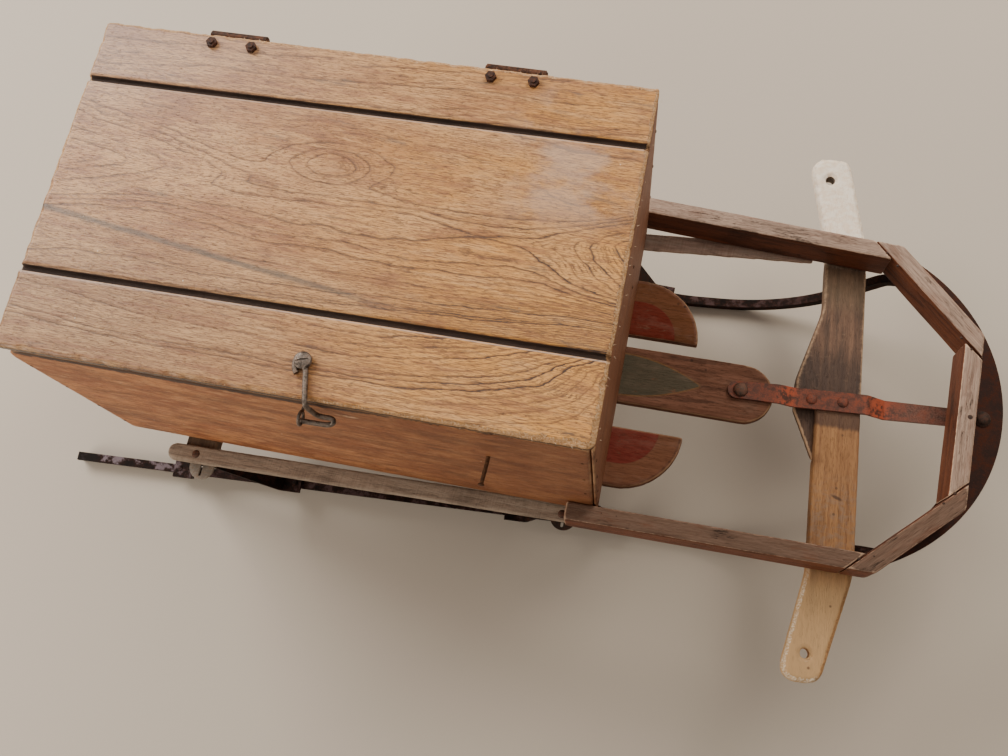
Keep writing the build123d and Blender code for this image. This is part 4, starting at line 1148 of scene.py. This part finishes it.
finished("lid_worn", worn_lid(), lid_finish, "lid", ["lid_panel"])
boards = [
    ("box_side_right", side_finish, "box_wood", 2.6, 1.2, 0.3, 1),
    ("box_side_left", side_finish, "box_wood", 3.2, 1.0, 0.3, 2),
    ("box_front_panel", end_finish, "box_wood", 2.6, 1.0, 0.3, 3),
    ("box_rear_panel", end_finish, "box_wood", 3.2, 1.0, 0.3, 4),
    ("side_rail_left", rail_finishes["left"], "grey_wood", 1.7, 1.2, 0.3, 5),
    ("side_rail_right", rail_finishes["right"], "grey_wood", 1.7, 1.2, 0.3, 6),
]
boards += [(node, finish, "slat_paint", 1.9, 0.8, 0.25, len(node)) for node, finish in slat_finishes.items()]
for place in ("front", "rear"):
    boards.append((place + "_bench", bench_finish, "bench_wood", 2.4, 0.8, 0.2, len(place)))
for node, finish, *rest in boards:
    weathered(node, finish, "sled", *rest)
weathered("steering_bar_left", old_bar, "steering", "bar_old_wood", 1.5, 1.0, 0.25, 12, frayed=0.15)
weathered("steering_bar_right", new_bar, "steering", "bar_new_wood", 1.5, 0.7, 0.2, 13, frayed=-0.16)
guard_ends = {
    "guard_rail_left": (0.4, 0.9), "guard_diagonal_left": (0.2, 0.2), "guard_nose": (0.4, 2.6),
    "guard_diagonal_right": (0.2, 0.2), "guard_rail_right": (0.4, 0.5),
}
for number, (node, ends) in enumerate(guard_ends.items()):
    turn = long_heading(points_of(nodes[node].data)) * 180 / pi
    # The near (right) boards' darker top colour is painted shade from the box; the far boards' paler top is
    # their dust.
    pale = "6a5242" if node.endswith("right") else "b29885"
    arris = 0.95 if node == "guard_nose" else 0.55
    finish = guard_board(node + "_wood", turn, 1.0 + number * 1.3, pale, arris)
    weathered(node, finish, "sled", "guard_wood", 1.6, 1.3, 0.4, 20 + number, ends)

# Bolts and rivets


def middle_of(node):
    """The middle and the two corners of a node's box."""
    low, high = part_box(node)
    return (low + high) / 2, low, high


centre, low, high = middle_of("pivot_bolt")
pivot_profile = [(0.05, -10), (4, -10), (4, 0), (7.6, 0)] + dome(7.6, 3.2, 0.8)
pivot_head = turned(pivot_profile, (centre.x, centre.y, high.z - 4 * MM))
nut_profile = [(0.05, -6), (6.6, -6), (7.2, -5), (7.2, -1), (6.6, 0), (0.05, 0)]
pivot_nut = turned(nut_profile, (centre.x, centre.y, low.z + 6 * MM), around=6)
pivot_mesh = joined("pivot_bolt_worn", [pivot_head, pivot_nut])
finished("pivot_bolt_worn", pivot_mesh, steels["bolt_steel"], "sled", ["pivot_bolt"])

centre, low, high = middle_of("hoop_bolt")
hoop_profile = [(0.05, -10), (6.5, -10), (7, -9), (7, -6.4), (4, -6.4), (4, 0), (8.4, 0), (8.4, 1), (6, 1)]
hoop_head = turned(hoop_profile + dome(6, 2.8, 1.4), (centre.x, centre.y, high.z - 4 * MM))
finished("hoop_bolt_worn", hoop_head, steels["dark_plate_steel"], "steering", ["hoop_bolt"])

centre, low, high = middle_of("strap_rivets")
rivet_bottom, rivet_top = low.z + 2.5 * MM, high.z - 2.5 * MM
rivet_span = (rivet_top - rivet_bottom) / MM
rivet_tail = [(radius, -height) for radius, height in dome(5.6, 2.4)][::-1]
rivet_profile = rivet_tail + [(3, 0), (3, rivet_span)] + dome(5.8, 2.4, rivet_span)
rivet_points = points_of(nodes["strap_rivets"].data)
rivets = []
for group in (rivet_points[rivet_points[:, 0] < centre.x], rivet_points[rivet_points[:, 0] >= centre.x]):
    x, y = (group[:, axis].max() + group[:, axis].min() for axis in (0, 1))
    rivets.append(turned(rivet_profile, (x / 2, y / 2, rivet_bottom), around=24))
rivet_mesh = joined("rivets", rivets)
finished("strap_rivets_worn", rivet_mesh, steels["strap_steel"], "steering",
         ["strap_rivets"])

# Hook and its screw

screw, low, high = middle_of("latch_screw")
hook_low, hook_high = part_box("latch_hook")
wire_z = lid_high.z + 2.3 * MM
eye = (screw.x, screw.y, wire_z)
loop_radius = 6.1
loop = []
for step in range(1, 9):
    angle = radians(205 - 33 * step)
    loop.append(moved(eye, loop_radius * cos(angle), loop_radius * sin(angle), 0.15 * step))
drop = (screw.x + 11.5 * MM, wall_y - 5.6 * MM, wire_z)
foot, tip = (drop[0], drop[1], hook_low.z), (hook_high.x, drop[1], hook_low.z)
hook_line = [
    moved(eye, -2.6, -11, 0), moved(eye, -5.6, -7.5, 0), *loop,
    moved(eye, 4.6, -7, 0), moved(eye, 6.2, -15, 0), moved((screw.x, wall_y, wire_z), 9.6, 1, 0.3),
    moved(drop, 0, 0, -1), moved(drop, 1.5, -0.4, -12),
    moved(foot, 3.5, -0.6, 9), moved(foot, 8, -0.6, 7), moved(tip, -3, -0.4, 6.6), moved(tip, -1.8, -3, 4),
    moved(tip, -5, -5.4, 2), moved(tip, -14, -6, 1.8), moved((hook_low.x, drop[1], hook_low.z), 5.6, -6, 1.8),
]
hook_wire = wire("hook_wire", hook_line, 2.3)
finished("latch_hook_bent", hook_wire, steels["hook_steel"], "lid", ["latch_hook"])

screw_base = (screw.x, screw.y, high.z - 3 * MM)
screw_profile = [(0.05, -11), (2.6, -11), (2.9, 0), (7.1, 0), (7.2, 0.7)] + dome(7.0, 2.2, 0.8)
screw_piece = placed("screw_rough", turned(screw_profile, screw_base, around=32))
cutter_mesh = turned([(0.05, -1), (10, -1), (10, 1), (0.05, 1)], (0, 0, 0), around=4)
slot_place = Matrix.Translation(Vector(screw_base) + Vector((0, 0, 3.3 * MM)))
slot_turn, slot_size = Matrix.Rotation(radians(20), 4, "Z"), Matrix.Diagonal((1, 0.09, 1.4, 1))
cutter_mesh.transform(slot_place @ slot_turn @ slot_size)
cutter = placed("screw_cutter", cutter_mesh)
cut = screw_piece.modifiers.new("slot", "BOOLEAN")
cut.object, cut.operation, cut.solver = cutter, "DIFFERENCE", "EXACT"
screw_mesh = plain_mesh(screw_piece)
bpy.data.objects.remove(cutter)
finished("latch_screw_slotted", screw_mesh, steels["hook_steel"], "lid",
         ["latch_screw"], smooth=False)

# Screws and nails

nail, low, high = middle_of("peg_nail")
nail_end = (nail.x, low.y, nail.z)
nail_line = [
    (nail.x, high.y, nail.z), (nail.x, wall_y - 4 * MM, nail.z),
    moved((nail.x, wall_y, nail.z), -0.6, -14, -0.2), moved(nail_end, -1.4, 1.5, -0.8),
]
nail_wire = wire("nail_wire", nail_line, 1.9)
nail_profile = [(0.05, -0.2), (2.6, -0.2), (3.1, 0.5), (2.8, 1.2), (1.6, 1.6), (0.05, 1.7)]
nail_head = turned(nail_profile, moved(nail_end, -1.4, 1.8, -0.8), (0, -1, 0), 16)
nail_mesh = joined("peg_nail", [nail_wire, nail_head])
finished("peg_nail_bent", nail_mesh, steels["nail_steel"], "sled", ["peg_nail"])

rail_screws = []
for side, spins in (("right", (30, 10)), ("left", (75, 50))):
    board = points_of(nodes["side_rail_" + side].data)
    tilt, start = np.polyfit(board[:, 0], board[:, 1], 1)
    for bench, spin in zip(("rear_bench", "front_bench"), spins):
        x = middle_of(bench)[0].x
        rail_screws.append(spot((x, start + tilt * x, board[:, 2].max() - 0.6 * MM), UP, spin))
heads("rail_screws", rail_screws, 4.6, 1.7, steels["bolt_steel"], "sled", 0.9)

box_rear, box_front = (corner.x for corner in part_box("box_side_right"))
far_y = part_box("box_side_left")[1].y
panel_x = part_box("box_front_panel")[1].x - 0.5 * MM
nails = []
nail_heights = (0.185, 0.245, 0.31, 0.375)
for z in nail_heights:
    for x in (box_rear + 5 * MM, box_front - 7 * MM):
        nails.append(spot((x, wall_y + 0.5 * MM, z), (0, -1, 0)))
        nails.append(spot((x, far_y - 0.5 * MM, z + 8 * MM), (0, 1, 0)))
    for y in (wall_y + 6 * MM, far_y - 6 * MM):
        nails.append(spot((panel_x, y, z - 5 * MM), (1, 0, 0)))
panel_middle_nails = ((0.04, 0.333), (0.042, 0.279))
nails += [spot((panel_x, y, z), (1, 0, 0), size=1.2) for y, z in panel_middle_nails]
heads("box_nails", nails, 1.7, 0.9, steels["lid_bolt_rust"], "sled")

leaf_points = points_of(nodes["hinge_box_leaves"].data)
between_leaves = -0.13
leaf_screws = []
rear = leaf_points[:, 0] < between_leaves
for leaf in (leaf_points[rear], leaf_points[~rear]):
    middle, screw_z = (leaf[:, 0].min() + leaf[:, 0].max()) / 2, leaf[:, 2].min() + 8 * MM
    for shift in (-16, 0, 16):
        leaf_screws.append(spot((middle + shift * MM, far_y + 1.6 * MM, screw_z), (0, 1, 0), shift * 9))
heads("hinge_screws", leaf_screws, 3.2, 1.0, steels["hinge_steel"], "sled", 0.7)

foot_rivets = []
for node in knees:
    knee = points_of(nodes[node].data)
    for end, x in ((1, knee[:, 0].min()), (-1, knee[:, 0].max())):
        foot = knee[(np.abs(knee[:, 0] - x) < 14 * MM) & (knee[:, 2] < 0.045)]
        y = (foot[:, 1].min() + foot[:, 1].max()) / 2
        foot_rivets.append(spot((x + end * 8 * MM, y, foot[:, 2].max() - 0.3 * MM)))
heads("foot_rivets", foot_rivets, 3.4, 1.8, steels["runner_steel"], "sled")

guard_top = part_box("guard_nose")[1].z - 0.9 * MM
plug_place = (0.4752, -0.0056)
guard_nails = [
    (0.3805, 0.1585), (0.3925, 0.1455), (0.461, 0.0765), (0.4715, 0.0655), (0.4575, -0.0965),
    (0.467, -0.0845), (0.3845, -0.1645), (0.398, -0.1595), (0.135, -0.1665), (0.15, -0.1665),
]
for name, places, radius in (("nose_plug", [plug_place], 4.4), ("guard_nails", guard_nails, 1.5)):
    spots = [spot((*place, guard_top)) for place in places]
    heads(name, spots, radius, 0.8, steels["dark_plate_steel"], "sled")

# Splinters: ends of each edge of the lid, their number and their heading in degrees

edge_z = lid_high.z - 2.5 * MM
edges = {
    "far": ((lid_low.x + 0.01, lid_high.y - MM), (lid_high.x - 0.01, lid_high.y - MM), 110, 180),
    "front": ((lid_high.x - MM, lid_low.y + 0.01), (lid_high.x - MM, lid_high.y - 0.01), 36, 90),
    "near": ((0.02, lid_low.y + MM), (lid_high.x - 0.01, lid_low.y + MM), 14, 0),
}
for number, (edge, (start, end, count, turn)) in enumerate(edges.items()):
    line = mesh_from("edge_line", [(*start, edge_z), (*end, edge_z)], [], [(0, 1)])
    splinters = grown(line, splinter_tree, {
        "Count": float(count), "Length": 3.2 * MM, "Thickness": 0.25 * MM, "Spread": 0.9,
        "Seed": float(number), "Turn": radians(turn), "Material": splinter_wood})
    finished("lid_splinters_" + edge, splinters, splinter_wood, "lid", smooth=False)

# Floor

floor_mesh = mesh_from("studio_floor", [(-6, -6, 0), (6, -6, 0), (6, 6, 0), (-6, 6, 0)], [(0, 1, 2, 3)])
floor_material = bpy.data.materials.new("studio_floor")
floor_material.use_nodes = True
floor_shader = floor_material.node_tree.nodes["Principled BSDF"]
floor_shader.inputs["Base Color"].default_value = colour("c4b7a7")
floor_shader.inputs["Roughness"].default_value = 0.85
floor_mesh.materials.append(floor_material)
placed("studio_floor", floor_mesh)
